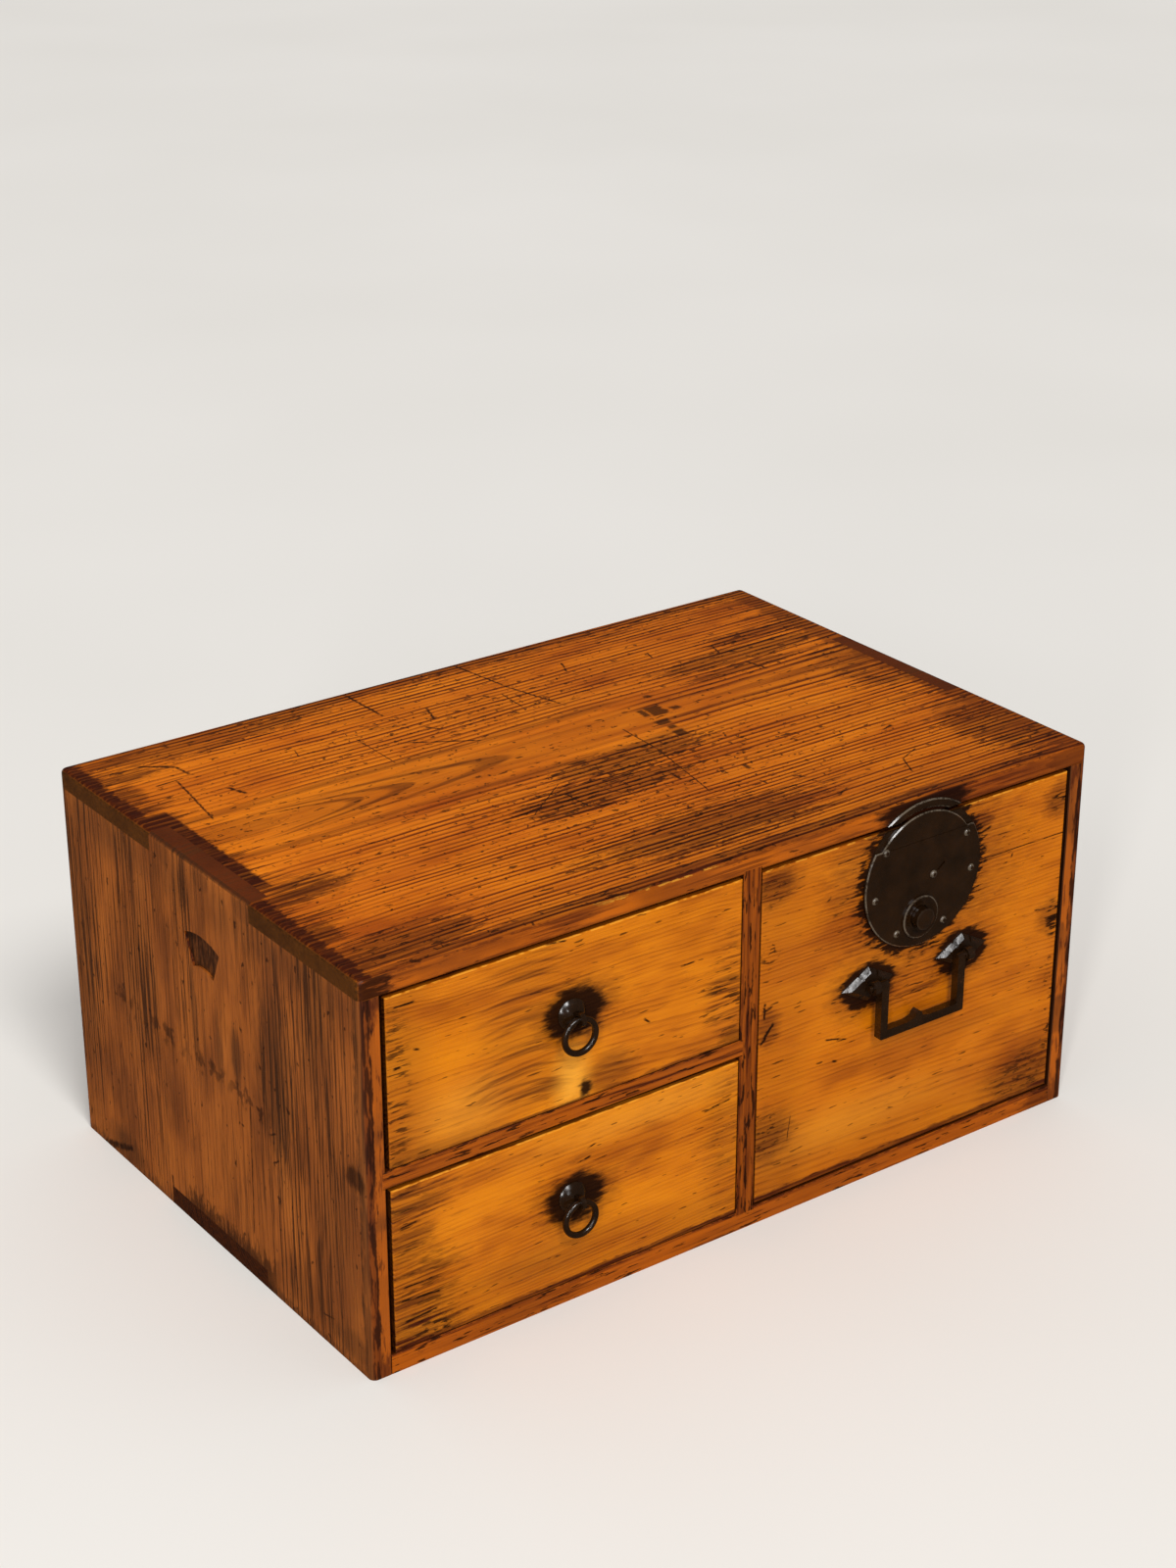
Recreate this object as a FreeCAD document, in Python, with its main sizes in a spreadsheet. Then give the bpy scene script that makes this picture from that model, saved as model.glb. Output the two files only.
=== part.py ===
"""Small tansu chest: a box-jointed case with two small drawers and one locking drawer.

Millimetres. X runs to the right along the front, Y to the back, Z up.
The origin is the middle of the underside, and the drawer fronts face -Y.
"""
import FreeCAD, Part
import math
import os

import Sketcher
from FreeCAD import Placement, Rotation, Vector

doc = FreeCAD.newDocument("SmallTansuChest")
sheet = doc.addObject("Spreadsheet::Sheet", "Sizes")
sheet_rows = []
pieces = []


# ---------------------------------------------------------------- sizes

class Size:
    """A length or an angle: its number, and the sheet expression that drives it."""

    def __init__(self, number, text):
        self.number = number
        self.text = text

    def joined(self, other, sign, number):
        return Size(number, "(" + self.text + " " + sign + " " + as_size(other).text + ")")

    def __add__(self, other):
        return self.joined(other, "+", self.number + as_size(other).number)

    def __sub__(self, other):
        return self.joined(other, "-", self.number - as_size(other).number)

    def __mul__(self, other):
        return self.joined(other, "*", self.number * as_size(other).number)

    def __truediv__(self, other):
        return self.joined(other, "/", self.number / as_size(other).number)

    def __neg__(self):
        return as_size(0) - self


def as_size(value):
    """Take a plain number, or a Size, as a Size."""
    if isinstance(value, Size):
        return value
    return Size(float(value), repr(float(value)))


def size(alias, number):
    """Write one driving dimension into the sheet and hand back its Size."""
    sheet_rows.append(alias)
    row = str(len(sheet_rows))
    sheet.set("A" + row, alias.replace("_", " "))
    sheet.set("B" + row, str(number))
    sheet.setAlias("B" + row, alias)
    return Size(float(number), "Sizes." + alias)


def root(value):
    return Size(math.sqrt(value.number), "sqrt(" + value.text + ")")


def sine(angle):
    return Size(math.sin(math.radians(angle.number)), "sin(" + angle.text + ")")


def cosine(angle):
    return Size(math.cos(math.radians(angle.number)), "cos(" + angle.text + ")")


# Case
case_width = size("case_width", 450)
case_depth = size("case_depth", 290)
case_height = size("case_height", 213)
side_thickness = size("side_thickness", 11)
top_thickness = size("top_thickness", 10.5)
bottom_thickness = size("bottom_thickness", 10.5)
finger_length = size("finger_length", 97)
back_thickness = size("back_thickness", 6)
back_ledge = size("back_ledge", 5)
housing_depth = size("housing_depth", 1.5)
case_rounding = size("case_rounding", 2.5)
corner_rounding = size("corner_rounding", 3.5)
opening_chamfer = size("opening_chamfer", 0.5)
divider_thickness = size("divider_thickness", 11)
divider_centre = size("divider_centre", -0.5)
rail_height = size("rail_height", 9)
rail_depth = size("rail_depth", 26)
shelf_thickness = size("shelf_thickness", 5)
shelf_lap = size("shelf_lap", 6)
fan_outer_radius = size("fan_outer_radius", 42.7)
fan_inner_radius = size("fan_inner_radius", 25.1)
fan_half_angle = size("fan_half_angle", 23.5)
fan_crown_drop = size("fan_crown_drop", 38)
fan_recess = size("fan_recess", 1.2)
peg_radius = size("peg_radius", 1.2)
peg_length = size("peg_length", 11)
peg_inset = size("peg_inset", 2.5)

# Drawers
front_thickness = size("front_thickness", 13)
front_lip = size("front_lip", 6)
drawer_side_thickness = size("drawer_side_thickness", 7)
drawer_back_thickness = size("drawer_back_thickness", 7)
drawer_bottom_thickness = size("drawer_bottom_thickness", 4.5)
side_drop = size("side_drop", 2)
back_drop = size("back_drop", 6)
front_rounding = size("front_rounding", 1)
outer_gap = size("outer_gap", 2.4)
divider_gap = size("divider_gap", 0.6)
top_gap = size("top_gap", 2.2)
running_gap = size("running_gap", 0.3)
stop_gap = size("stop_gap", 0.4)
locked_front_lift = size("locked_front_lift", 1.2)

# Ring pulls
ring_radius = size("ring_radius", 8.9)
ring_wire_radius = size("ring_wire_radius", 1.65)
ring_seat_radius = size("ring_seat_radius", 8)
ring_seat_rim = size("ring_seat_rim", 0.6)
ring_seat_height = size("ring_seat_height", 4.2)
ring_eye_radius = size("ring_eye_radius", 3.7)
ring_eye_width = size("ring_eye_width", 2.6)
eye_clearance = size("eye_clearance", 0.35)
eye_sink = size("eye_sink", 0.9)
eye_slot_clearance = size("eye_slot_clearance", 0.2)
cotter_radius = size("cotter_radius", 1.4)
cotter_hole_clearance = size("cotter_hole_clearance", 0.15)
cotter_leg_radius = size("cotter_leg_radius", 0.9)
cotter_leg_length = size("cotter_leg_length", 9)
ring_rise = size("ring_rise", 4)

# Bail handle
bail_below_plate = size("bail_below_plate", 52.2)
bail_half_span = size("bail_half_span", 26.3)
bail_drop = size("bail_drop", 31)
bail_bar_width = size("bail_bar_width", 4.8)
bail_bar_depth = size("bail_bar_depth", 4.6)
bail_end_radius = size("bail_end_radius", 1.7)
bail_end_length = size("bail_end_length", 7.3)
bail_collar_radius = size("bail_collar_radius", 2.8)
bail_collar_width = size("bail_collar_width", 1)
bail_eye_radius = size("bail_eye_radius", 3.8)
bail_eye_width = size("bail_eye_width", 4)
bail_eye_offset = size("bail_eye_offset", 32.1)
bail_nub_offset = size("bail_nub_offset", -2.2)
bail_nub_half_length = size("bail_nub_half_length", 7.5)
bail_nub_height = size("bail_nub_height", 4.6)
bail_rounding = size("bail_rounding", 0.9)
seat_half_length = size("seat_half_length", 17.4)
seat_half_height = size("seat_half_height", 9.8)
seat_notch_across = size("seat_notch_across", 6.1)
seat_notch_half_width = size("seat_notch_half_width", 0.9)
seat_notch_depth = size("seat_notch_depth", 1.5)
seat_rim = size("seat_rim", 0.7)
seat_height = size("seat_height", 3)
seat_crown_share = size("seat_crown_share", 0.72)

# Lock
plate_offset = size("plate_offset", 1.75)
plate_below_edge = size("plate_below_edge", 30.8)
plate_radius = size("plate_radius", 39.2)
plate_cap_radius = size("plate_cap_radius", 35.5)
plate_step = size("plate_step", 20.8)
plate_flange = size("plate_flange", 0.8)
plate_face = size("plate_face", 1.4)
plate_flange_margin = size("plate_flange_margin", 0.3)
plate_chamfer = size("plate_chamfer", 0.6)
crease_width = size("crease_width", 0.5)
crease_depth = size("crease_depth", 0.25)
boss_radius = size("boss_radius", 11.8)
boss_height = size("boss_height", 1.4)
boss_dish = size("boss_dish", 0.9)
boss_rim = size("boss_rim", 1.6)
button_radius = size("button_radius", 5.9)
button_below_plate = size("button_below_plate", 22.5)
button_reach = size("button_reach", 8.3)
button_head = size("button_head", 5.7)
button_dome = size("button_dome", 1.4)
button_shank_radius = size("button_shank_radius", 4)
button_clearance = size("button_clearance", 0.35)
button_travel = size("button_travel", 5)
post_across = size("post_across", 6)
post_up = size("post_up", -0.6)
post_radius = size("post_radius", 2.3)
post_reach = size("post_reach", 4.2)
slit_width = size("slit_width", 1.3)
slit_start = size("slit_start", 3.4)
slit_end = size("slit_end", 9.2)
slit_angle = size("slit_angle", 38)
slit_offset = size("slit_offset", 1.15)
key_slot_margin = size("key_slot_margin", 0.4)
nail_circle_radius = size("nail_circle_radius", 33)
nail_head_radius = size("nail_head_radius", 2)
nail_head_height = size("nail_head_height", 1.3)
nail_shank_radius = size("nail_shank_radius", 0.9)
nail_length = size("nail_length", 5.5)
key_room = size("key_room", 8.5)
lock_box_below_button = size("lock_box_below_button", 8.5)
lock_box_below_edge = size("lock_box_below_edge", 8.8)
lock_box_wall = size("lock_box_wall", 1.2)
lock_box_clearance = size("lock_box_clearance", 0.3)
lock_flange_thickness = size("lock_flange_thickness", 1.5)
lock_flange_margin = size("lock_flange_margin", 6)
lock_box_nail_radius = size("lock_box_nail_radius", 0.9)
lock_box_nail_length = size("lock_box_nail_length", 7)
lock_box_nail_proud = size("lock_box_nail_proud", 0.5)
mortise_floor = size("mortise_floor", 4)
bolt_width = size("bolt_width", 20)
bolt_neck_width = size("bolt_neck_width", 12)
bolt_thickness = size("bolt_thickness", 4.5)
bolt_shift = size("bolt_shift", -2.5)
bolt_front_gap = size("bolt_front_gap", 2)
bolt_top_margin = size("bolt_top_margin", 0.4)
spring_room = size("spring_room", 14)
bolt_clearance = size("bolt_clearance", 0.4)
bolt_notch_radius = size("bolt_notch_radius", 2.6)
bolt_notch_below_plate = size("bolt_notch_below_plate", 4.5)
ramp_clearance = size("ramp_clearance", 0.5)
nose_below = size("nose_below", 1)
spring_strip = size("spring_strip", 0.8)
spring_width = size("spring_width", 3)
spring_gap = size("spring_gap", 0.3)
strike_inner_radius = size("strike_inner_radius", 37)
strike_outer_radius = size("strike_outer_radius", 41.7)
strike_edge_margin = size("strike_edge_margin", 0.3)
strike_thickness = size("strike_thickness", 1.5)
strike_chamfer = size("strike_chamfer", 0.7)
strike_tang_radius = size("strike_tang_radius", 0.9)
strike_tang_length = size("strike_tang_length", 8)

NAIL_ANGLES = (30, 143, 189, 239, 297, 352)
STRIKE_TANG_ANGLES = (74, 106)
FACING_FRONT = Rotation(Vector(1, 0, 0), 90)
UPRIGHT = Rotation()

# Levels and faces that several pieces share
front_face = -case_depth / 2
inner_half = case_width / 2 - side_thickness
ceiling = case_height - top_thickness
floor = bottom_thickness
back_face = case_depth / 2 - back_thickness
divider_left = divider_centre - divider_thickness / 2
divider_right = divider_centre + divider_thickness / 2
rail_bottom = (ceiling + floor - rail_height) / 2
rail_top = rail_bottom + rail_height
big_left = divider_right + divider_gap
big_right = inner_half - outer_gap
small_left = -inner_half + outer_gap
small_right = divider_left - divider_gap
small_centre = (small_left + small_right) / 2
big_centre = (big_left + big_right) / 2
big_top = ceiling - top_gap
big_bottom = floor + running_gap + locked_front_lift

# Hardware: how far each pivot stands off the drawer fronts, and where the lock sits
ring_eye_reach = ring_seat_height + ring_eye_radius - eye_sink
bail_eye_reach = seat_height + bail_eye_radius - eye_sink
plate_proud = plate_flange + plate_face
plate_centre = big_centre + plate_offset
plate_height = big_top - plate_below_edge
button_height = plate_height - button_below_plate
bail_height = plate_height - bail_below_plate
bolt_centre = big_centre + bolt_shift
lock_box_left = bolt_centre - bolt_width / 2 - bolt_clearance - lock_box_wall
lock_box_right = plate_centre + post_across + key_room + lock_box_wall
lock_box_centre = (lock_box_left + lock_box_right) / 2
lock_box_width = lock_box_right - lock_box_left
lock_box_bottom = button_height - lock_box_below_button
lock_box_top = big_top - lock_box_below_edge
lock_box_height = lock_box_top - lock_box_bottom
bolt_front = mortise_floor + bolt_front_gap
bolt_back = bolt_front + bolt_thickness
bolt_top = big_top - bolt_top_margin
bolt_shoulder_height = lock_box_top - lock_box_wall - spring_room
nose_reach = front_thickness - running_gap - button_travel
bolt_foot = button_height + nose_reach - nose_below + ramp_clearance - bolt_back


# ---------------------------------------------------------------- building helpers

def bind(item, name, value):
    """Drive one property of a document object from the sheet."""
    item.setExpression(name, as_size(value).text)


def place(item, x, y, z, rotation=UPRIGHT):
    """Put an object at a place that follows the sheet."""
    item.Placement = Placement(Vector(as_size(x).number, as_size(y).number, as_size(z).number), rotation)
    bind(item, "Placement.Base.x", x)
    bind(item, "Placement.Base.y", y)
    bind(item, "Placement.Base.z", z)


def new_body(name):
    body = doc.addObject("PartDesign::Body", name)
    body.Label = name
    pieces.append(body)
    return body


def sketch_on(body, role, level=0):
    """A new sketch on one of the body's own origin planes, raised by level."""
    sketch = body.newObject("Sketcher::SketchObject", body.Name + "_sketch")
    plane = [feature for feature in body.Origin.OriginFeatures if feature.Role == role][0]
    sketch.AttachmentSupport = [(plane, "")]
    sketch.MapMode = "FlatFace"
    bind(sketch, "AttachmentOffset.Base.z", level)
    return sketch


def bind_constraint(sketch, kind, arguments, value):
    value = as_size(value)
    index = sketch.addConstraint(Sketcher.Constraint(kind, *arguments, value.number))
    sketch.setExpression("Constraints[" + str(index) + "]", value.text)


def pin_point(sketch, geometry, end, point, keep="xy"):
    """Fix a point of a sketch from the sketch's origin, along x, y or both."""
    if "x" in keep:
        bind_constraint(sketch, "DistanceX", (-1, 1, geometry, end), point[0])
    if "y" in keep:
        bind_constraint(sketch, "DistanceY", (-1, 1, geometry, end), point[1])


def plain_vector(point):
    return Vector(as_size(point[0]).number, as_size(point[1]).number, 0)


def line_to(point, keep="xy"):
    return {"point": point, "keep": keep}


def arc_to(point, centre, turn, keep="y", radius=None):
    """An arc to a point; turn is 1 anticlockwise and -1 clockwise.

    Without a radius the arc takes its own from the point where it starts.
    """
    return {"point": point, "keep": keep, "centre": centre, "turn": turn, "radius": radius}


def add_arc(sketch, start, end, step):
    middle = plain_vector(step["centre"])
    angles = [math.atan2(p.y - middle.y, p.x - middle.x) for p in (start, end)]
    if step["turn"] < 0:
        angles.reverse()
    whole = Part.Circle(middle, Vector(0, 0, 1), start.distanceToPoint(middle))
    return sketch.addGeometry(Part.ArcOfCircle(whole, angles[0], angles[1]), False)


def outline(sketch, steps):
    """Close a chain of lines and arcs; each step ends at its own point."""
    made = []
    count = len(steps)
    for number, step in enumerate(steps):
        start = plain_vector(steps[number - 1]["point"])
        end = plain_vector(step["point"])
        if "centre" in step:
            made.append((add_arc(sketch, start, end, step), step["turn"]))
        else:
            made.append((sketch.addGeometry(Part.LineSegment(start, end), False), 1))
    for number, (geometry, turn) in enumerate(made):
        following, next_turn = made[(number + 1) % count]
        end = 2 if turn > 0 else 1
        start = 1 if next_turn > 0 else 2
        sketch.addConstraint(Sketcher.Constraint("Coincident", geometry, end, following, start))
    for (geometry, turn), step in zip(made, steps):
        pin_point(sketch, geometry, 2 if turn > 0 else 1, step["point"], step["keep"])
        if "centre" in step:
            pin_point(sketch, geometry, 3, step["centre"])
            if step["radius"]:
                bind_constraint(sketch, "Radius", (geometry,), step["radius"])


def polygon(sketch, points):
    outline(sketch, [line_to(point) for point in points])


def rectangle(sketch, low, high):
    polygon(sketch, [low, (high[0], low[1]), high, (low[0], high[1])])


def circle(sketch, centre, radius):
    ring = Part.Circle(plain_vector(centre), Vector(0, 0, 1), as_size(radius).number)
    geometry = sketch.addGeometry(ring, False)
    pin_point(sketch, geometry, 3, centre)
    bind_constraint(sketch, "Radius", (geometry,), radius)


def pad(body, sketch, length, reverse=False):
    feature = body.newObject("PartDesign::Pad", body.Name + "_pad")
    feature.Profile = sketch
    feature.Reversed = reverse
    bind(feature, "Length", length)


def pocket(body, sketch, depth, reverse=False):
    feature = body.newObject("PartDesign::Pocket", body.Name + "_pocket")
    feature.Profile = sketch
    feature.Reversed = reverse
    bind(feature, "Length", depth)


def revolve(body, sketch):
    feature = body.newObject("PartDesign::Revolution", body.Name + "_revolution")
    feature.Profile = sketch
    feature.ReferenceAxis = (sketch, ["V_Axis"])
    feature.Angle = 360


def edges_at(shape, **wanted):
    """Names of the edges whose two ends lie at the wanted x, y or z."""
    names = []
    for number, edge in enumerate(shape.Edges, 1):
        ends = [vertex.Point for vertex in edge.Vertexes]
        if len(ends) == 2 and all(
            abs(getattr(end, axis) - as_size(value).number) < 1e-4
            for axis, value in wanted.items()
            for end in ends
        ):
            names.append("Edge" + str(number))
    return names


def ease(body, kind, radius, *places):
    """Round ("Fillet") or chamfer ("Chamfer") the body's edges that lie at the places."""
    doc.recompute()
    base = body.Tip
    names = sorted({name for wanted in places for name in edges_at(base.Shape, **wanted)})
    feature = body.newObject("PartDesign::" + kind, body.Name + "_" + kind.lower())
    feature.Base = (base, names)
    bind(feature, "Radius" if kind == "Fillet" else "Size", radius)


def group(name, solids):
    """Several separate solids that share one node."""
    compound = doc.addObject("Part::Compound", name)
    compound.Label = name
    compound.Links = solids
    pieces.append(compound)
    return compound


def rod(name, radius, length, x, y, z, rotation=UPRIGHT):
    item = doc.addObject("Part::Cylinder", name)
    bind(item, "Radius", radius)
    bind(item, "Height", length)
    place(item, x, y, z, rotation)
    return item


# ---------------------------------------------------------------- case

def board_plan(x_outer, x_notch, y_outer, y_notch, notched_middle):
    """Plan of a board with a finger joint at each end, in thirds of its depth."""
    middle, ends = (x_notch, x_outer) if notched_middle else (x_outer, x_notch)
    right = [(ends, -y_outer), (ends, -y_notch), (middle, -y_notch),
             (middle, y_notch), (ends, y_notch), (ends, y_outer)]
    left = [(-x, y) for x, y in reversed(right)]
    return right + left


def make_top_board():
    body = new_body("top_board")
    plan = sketch_on(body, "XY_Plane")
    polygon(plan, board_plan(case_width / 2, inner_half, case_depth / 2, finger_length / 2, True))
    pad(body, plan, top_thickness)
    housing = sketch_on(body, "XY_Plane")
    rectangle(housing, (divider_left, front_face), (divider_right, back_face))
    pocket(body, housing, housing_depth, reverse=True)
    rabbet = sketch_on(body, "XY_Plane")
    rectangle(rabbet, (-inner_half - back_ledge, back_face), (inner_half + back_ledge, case_depth / 2))
    pocket(body, rabbet, back_ledge, reverse=True)
    strike_hole = sketch_on(body, "XY_Plane")
    rectangle(
        strike_hole,
        (bolt_centre - bolt_neck_width / 2 - bolt_clearance, front_face + bolt_front - bolt_clearance),
        (bolt_centre + bolt_neck_width / 2 + bolt_clearance, front_face + bolt_back + bolt_clearance),
    )
    pocket(body, strike_hole, bolt_top + button_travel + bolt_clearance - ceiling, reverse=True)
    side, end = case_width / 2, case_depth / 2
    ease(body, "Chamfer", opening_chamfer, {"y": front_face, "z": 0})
    ease(body, "Fillet", corner_rounding,
         {"x": side, "y": end}, {"x": side, "y": -end}, {"x": -side, "y": end}, {"x": -side, "y": -end})
    ease(body, "Fillet", case_rounding,
         {"x": side, "z": top_thickness}, {"x": -side, "z": top_thickness},
         {"y": end, "z": top_thickness}, {"y": -end, "z": top_thickness})
    place(body, 0, 0, ceiling)


def make_bottom_board():
    body = new_body("bottom_board")
    plan = sketch_on(body, "XY_Plane")
    polygon(plan, board_plan(case_width / 2, inner_half, case_depth / 2, finger_length / 2, False))
    pad(body, plan, bottom_thickness)
    housing = sketch_on(body, "XY_Plane", bottom_thickness)
    rectangle(housing, (divider_left, front_face), (divider_right, back_face))
    pocket(body, housing, housing_depth)
    rabbet = sketch_on(body, "XY_Plane", bottom_thickness)
    rectangle(rabbet, (-inner_half, back_face), (inner_half, case_depth / 2))
    pocket(body, rabbet, back_ledge)
    ease(body, "Chamfer", opening_chamfer, {"y": front_face, "z": bottom_thickness})
    place(body, 0, 0, 0)


def make_side(name, side):
    """One side board, from its inner face outwards. side is -1 for the left and 1 for the right."""
    body = new_body(name)
    end, notch = case_depth / 2, finger_length / 2
    profile = sketch_on(body, "YZ_Plane")
    polygon(profile, [
        (-end, 0), (-notch, 0), (-notch, floor), (notch, floor), (notch, 0), (end, 0),
        (end, ceiling), (notch, ceiling), (notch, case_height), (-notch, case_height),
        (-notch, ceiling), (-end, ceiling),
    ])
    pad(body, profile, side_thickness, reverse=side < 0)
    rabbet = sketch_on(body, "YZ_Plane")
    rectangle(rabbet, (back_face, floor - back_ledge), (end, ceiling))
    pocket(body, rabbet, back_ledge, reverse=side > 0)
    if side < 0:
        cut_shelf_housing(body, reverse=False)
        cut_fan_recess(body)
    outer = side_thickness * side
    ease(body, "Chamfer", opening_chamfer, {"x": 0, "y": front_face})
    ease(body, "Fillet", corner_rounding, {"x": outer, "y": -end}, {"x": outer, "y": end})
    ease(body, "Fillet", case_rounding, {"x": outer, "z": case_height})
    place(body, inner_half * side, 0, 0)


def cut_shelf_housing(body, reverse):
    """Housing for the ends of the rail and the shelf board, in a board's x = 0 face."""
    housing = sketch_on(body, "YZ_Plane")
    polygon(housing, [
        (front_face, rail_bottom), (front_face + rail_depth, rail_bottom),
        (front_face + rail_depth, rail_top - shelf_thickness), (back_face, rail_top - shelf_thickness),
        (back_face, rail_top), (front_face, rail_top),
    ])
    pocket(body, housing, housing_depth, reverse=reverse)


def cut_fan_recess(body):
    """Shallow fan, an arc-ended sector with its pivot below, in the outer face."""
    pivot = case_height - fan_crown_drop - fan_outer_radius
    across, up = sine(fan_half_angle), cosine(fan_half_angle)
    outer = (fan_outer_radius * across, pivot + fan_outer_radius * up)
    inner = (fan_inner_radius * across, pivot + fan_inner_radius * up)
    sketch = sketch_on(body, "YZ_Plane", -side_thickness)
    outline(sketch, [
        line_to(outer, keep="y"),
        arc_to((-outer[0], outer[1]), (0, pivot), 1, radius=fan_outer_radius),
        line_to((-inner[0], inner[1]), keep="y"),
        arc_to(inner, (0, pivot), -1, radius=fan_inner_radius),
    ])
    pocket(body, sketch, fan_recess, reverse=True)


def make_back_board():
    body = new_body("back_board")
    face = sketch_on(body, "XZ_Plane")
    reach = inner_half + back_ledge
    rectangle(face, (-reach, floor - back_ledge), (reach, ceiling + back_ledge))
    pad(body, face, back_thickness, reverse=True)
    place(body, 0, back_face, 0)


def make_divider():
    body = new_body("divider")
    face = sketch_on(body, "YZ_Plane")
    rectangle(face, (front_face, floor - housing_depth), (back_face, ceiling + housing_depth))
    pad(body, face, divider_thickness)
    cut_shelf_housing(body, reverse=True)
    ease(body, "Chamfer", opening_chamfer,
         {"x": 0, "y": front_face}, {"x": divider_thickness, "y": front_face})
    place(body, divider_left, 0, 0)


def make_shelf():
    """The rail between the two small drawers and the thin board behind it."""
    length = divider_left + inner_half + housing_depth * 2
    rail = new_body("shelf_rail")
    section = sketch_on(rail, "YZ_Plane")
    polygon(section, [
        (0, 0), (rail_depth, 0), (rail_depth, rail_height - shelf_thickness),
        (rail_depth - shelf_lap, rail_height - shelf_thickness),
        (rail_depth - shelf_lap, rail_height), (0, rail_height),
    ])
    pad(rail, section, length)
    ease(rail, "Chamfer", opening_chamfer, {"y": 0, "z": 0}, {"y": 0, "z": rail_height})
    place(rail, -inner_half - housing_depth, front_face, rail_bottom)

    board = new_body("shelf_board")
    plan = sketch_on(board, "XY_Plane")
    rectangle(plan, (0, 0), (length, back_face - front_face - rail_depth + shelf_lap))
    pad(board, plan, shelf_thickness)
    place(board, -inner_half - housing_depth, front_face + rail_depth - shelf_lap, rail_top - shelf_thickness)


def make_back_pegs():
    """Wooden pegs driven through the back board's edges into the rabbets."""
    pegs = []
    edge_x = inner_half + peg_inset
    spots = []
    for share in (0.1, 0.37, 0.63, 0.9):
        level = floor + (ceiling - floor) * share
        spots += [(edge_x, level), (-edge_x, level)]
    for share in (-0.8, -0.4, 0.4, 0.8):
        spots += [(inner_half * share, floor - peg_inset), (inner_half * share, ceiling + peg_inset)]
    for x, z in spots:
        name = "back_peg_" + str(len(pegs) + 1)
        pegs.append(rod(name, peg_radius, peg_length, x, case_depth / 2, z, FACING_FRONT))
    group("back_pegs", pegs)


def make_strike_plate():
    """Arched iron strike on the top board's front edge, concentric with the lock plate."""
    body = new_body("strike_plate")
    level = ceiling + strike_edge_margin - plate_height
    outer_x = root(strike_outer_radius * strike_outer_radius - level * level)
    inner_x = root(strike_inner_radius * strike_inner_radius - level * level)
    face = sketch_on(body, "XY_Plane")
    outline(face, [
        line_to((outer_x, level), keep="y"),
        arc_to((-outer_x, level), (0, 0), 1, radius=strike_outer_radius),
        line_to((-inner_x, level), keep="y"),
        arc_to((inner_x, level), (0, 0), -1, radius=strike_inner_radius),
    ])
    pad(body, face, strike_thickness)
    ease(body, "Chamfer", strike_chamfer, {"z": strike_thickness})
    middle = (strike_outer_radius + strike_inner_radius) / 2
    tangs = sketch_on(body, "XY_Plane")
    for degrees in STRIKE_TANG_ANGLES:
        angle = as_size(degrees)
        circle(tangs, (middle * cosine(angle), middle * sine(angle)), strike_tang_radius)
    pad(body, tangs, strike_tang_length, reverse=True)
    place(body, plate_centre, front_face, plate_height, FACING_FRONT)


# ---------------------------------------------------------------- drawers

def make_drawer(name, left, right, running, top, front_bottom, cut_front):
    """One drawer box: a rabbeted front, two sides, a back and a bottom, pegged together.

    The box runs from left to right and stands on the level called running. Its front ends at
    top and front_bottom; cut_front makes the front's own holes.
    """
    rear = back_face - stop_gap
    lip = front_face + front_lip
    width = right - left
    height = top - front_bottom
    boards_bottom = running + drawer_bottom_thickness

    front = new_body(name + "_front")
    plan = sketch_on(front, "XY_Plane")
    polygon(plan, [
        (0, 0), (width, 0), (width, front_lip), (width - drawer_side_thickness, front_lip),
        (width - drawer_side_thickness, front_thickness), (drawer_side_thickness, front_thickness),
        (drawer_side_thickness, front_lip), (0, front_lip),
    ])
    pad(front, plan, height)
    rabbet = sketch_on(front, "XY_Plane")
    rectangle(rabbet, (0, front_lip), (width, front_thickness))
    pocket(front, rabbet, boards_bottom - front_bottom, reverse=True)
    cut_front(front, left, front_bottom)
    ease(front, "Fillet", front_rounding,
         {"y": 0, "z": 0}, {"y": 0, "z": height}, {"y": 0, "x": 0}, {"y": 0, "x": width})
    place(front, left, front_face, front_bottom)

    side_height = top - side_drop - boards_bottom
    for word, x in (("_left_side", left), ("_right_side", right - drawer_side_thickness)):
        board = new_body(name + word)
        face = sketch_on(board, "YZ_Plane")
        rectangle(face, (0, 0), (rear - lip, side_height))
        pad(board, face, drawer_side_thickness)
        place(board, x, lip, boards_bottom)

    back = new_body(name + "_back")
    face = sketch_on(back, "XZ_Plane")
    rectangle(face, (0, 0), (width - drawer_side_thickness * 2, top - back_drop - boards_bottom))
    pad(back, face, drawer_back_thickness, reverse=True)
    place(back, left + drawer_side_thickness, rear - drawer_back_thickness, boards_bottom)

    bottom = new_body(name + "_bottom")
    plan = sketch_on(bottom, "XY_Plane")
    rectangle(plan, (0, 0), (width, rear - lip))
    pad(bottom, plan, drawer_bottom_thickness)
    place(bottom, left, lip, running)

    make_drawer_pegs(name, left, right, running, side_height, lip, rear)


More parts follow.
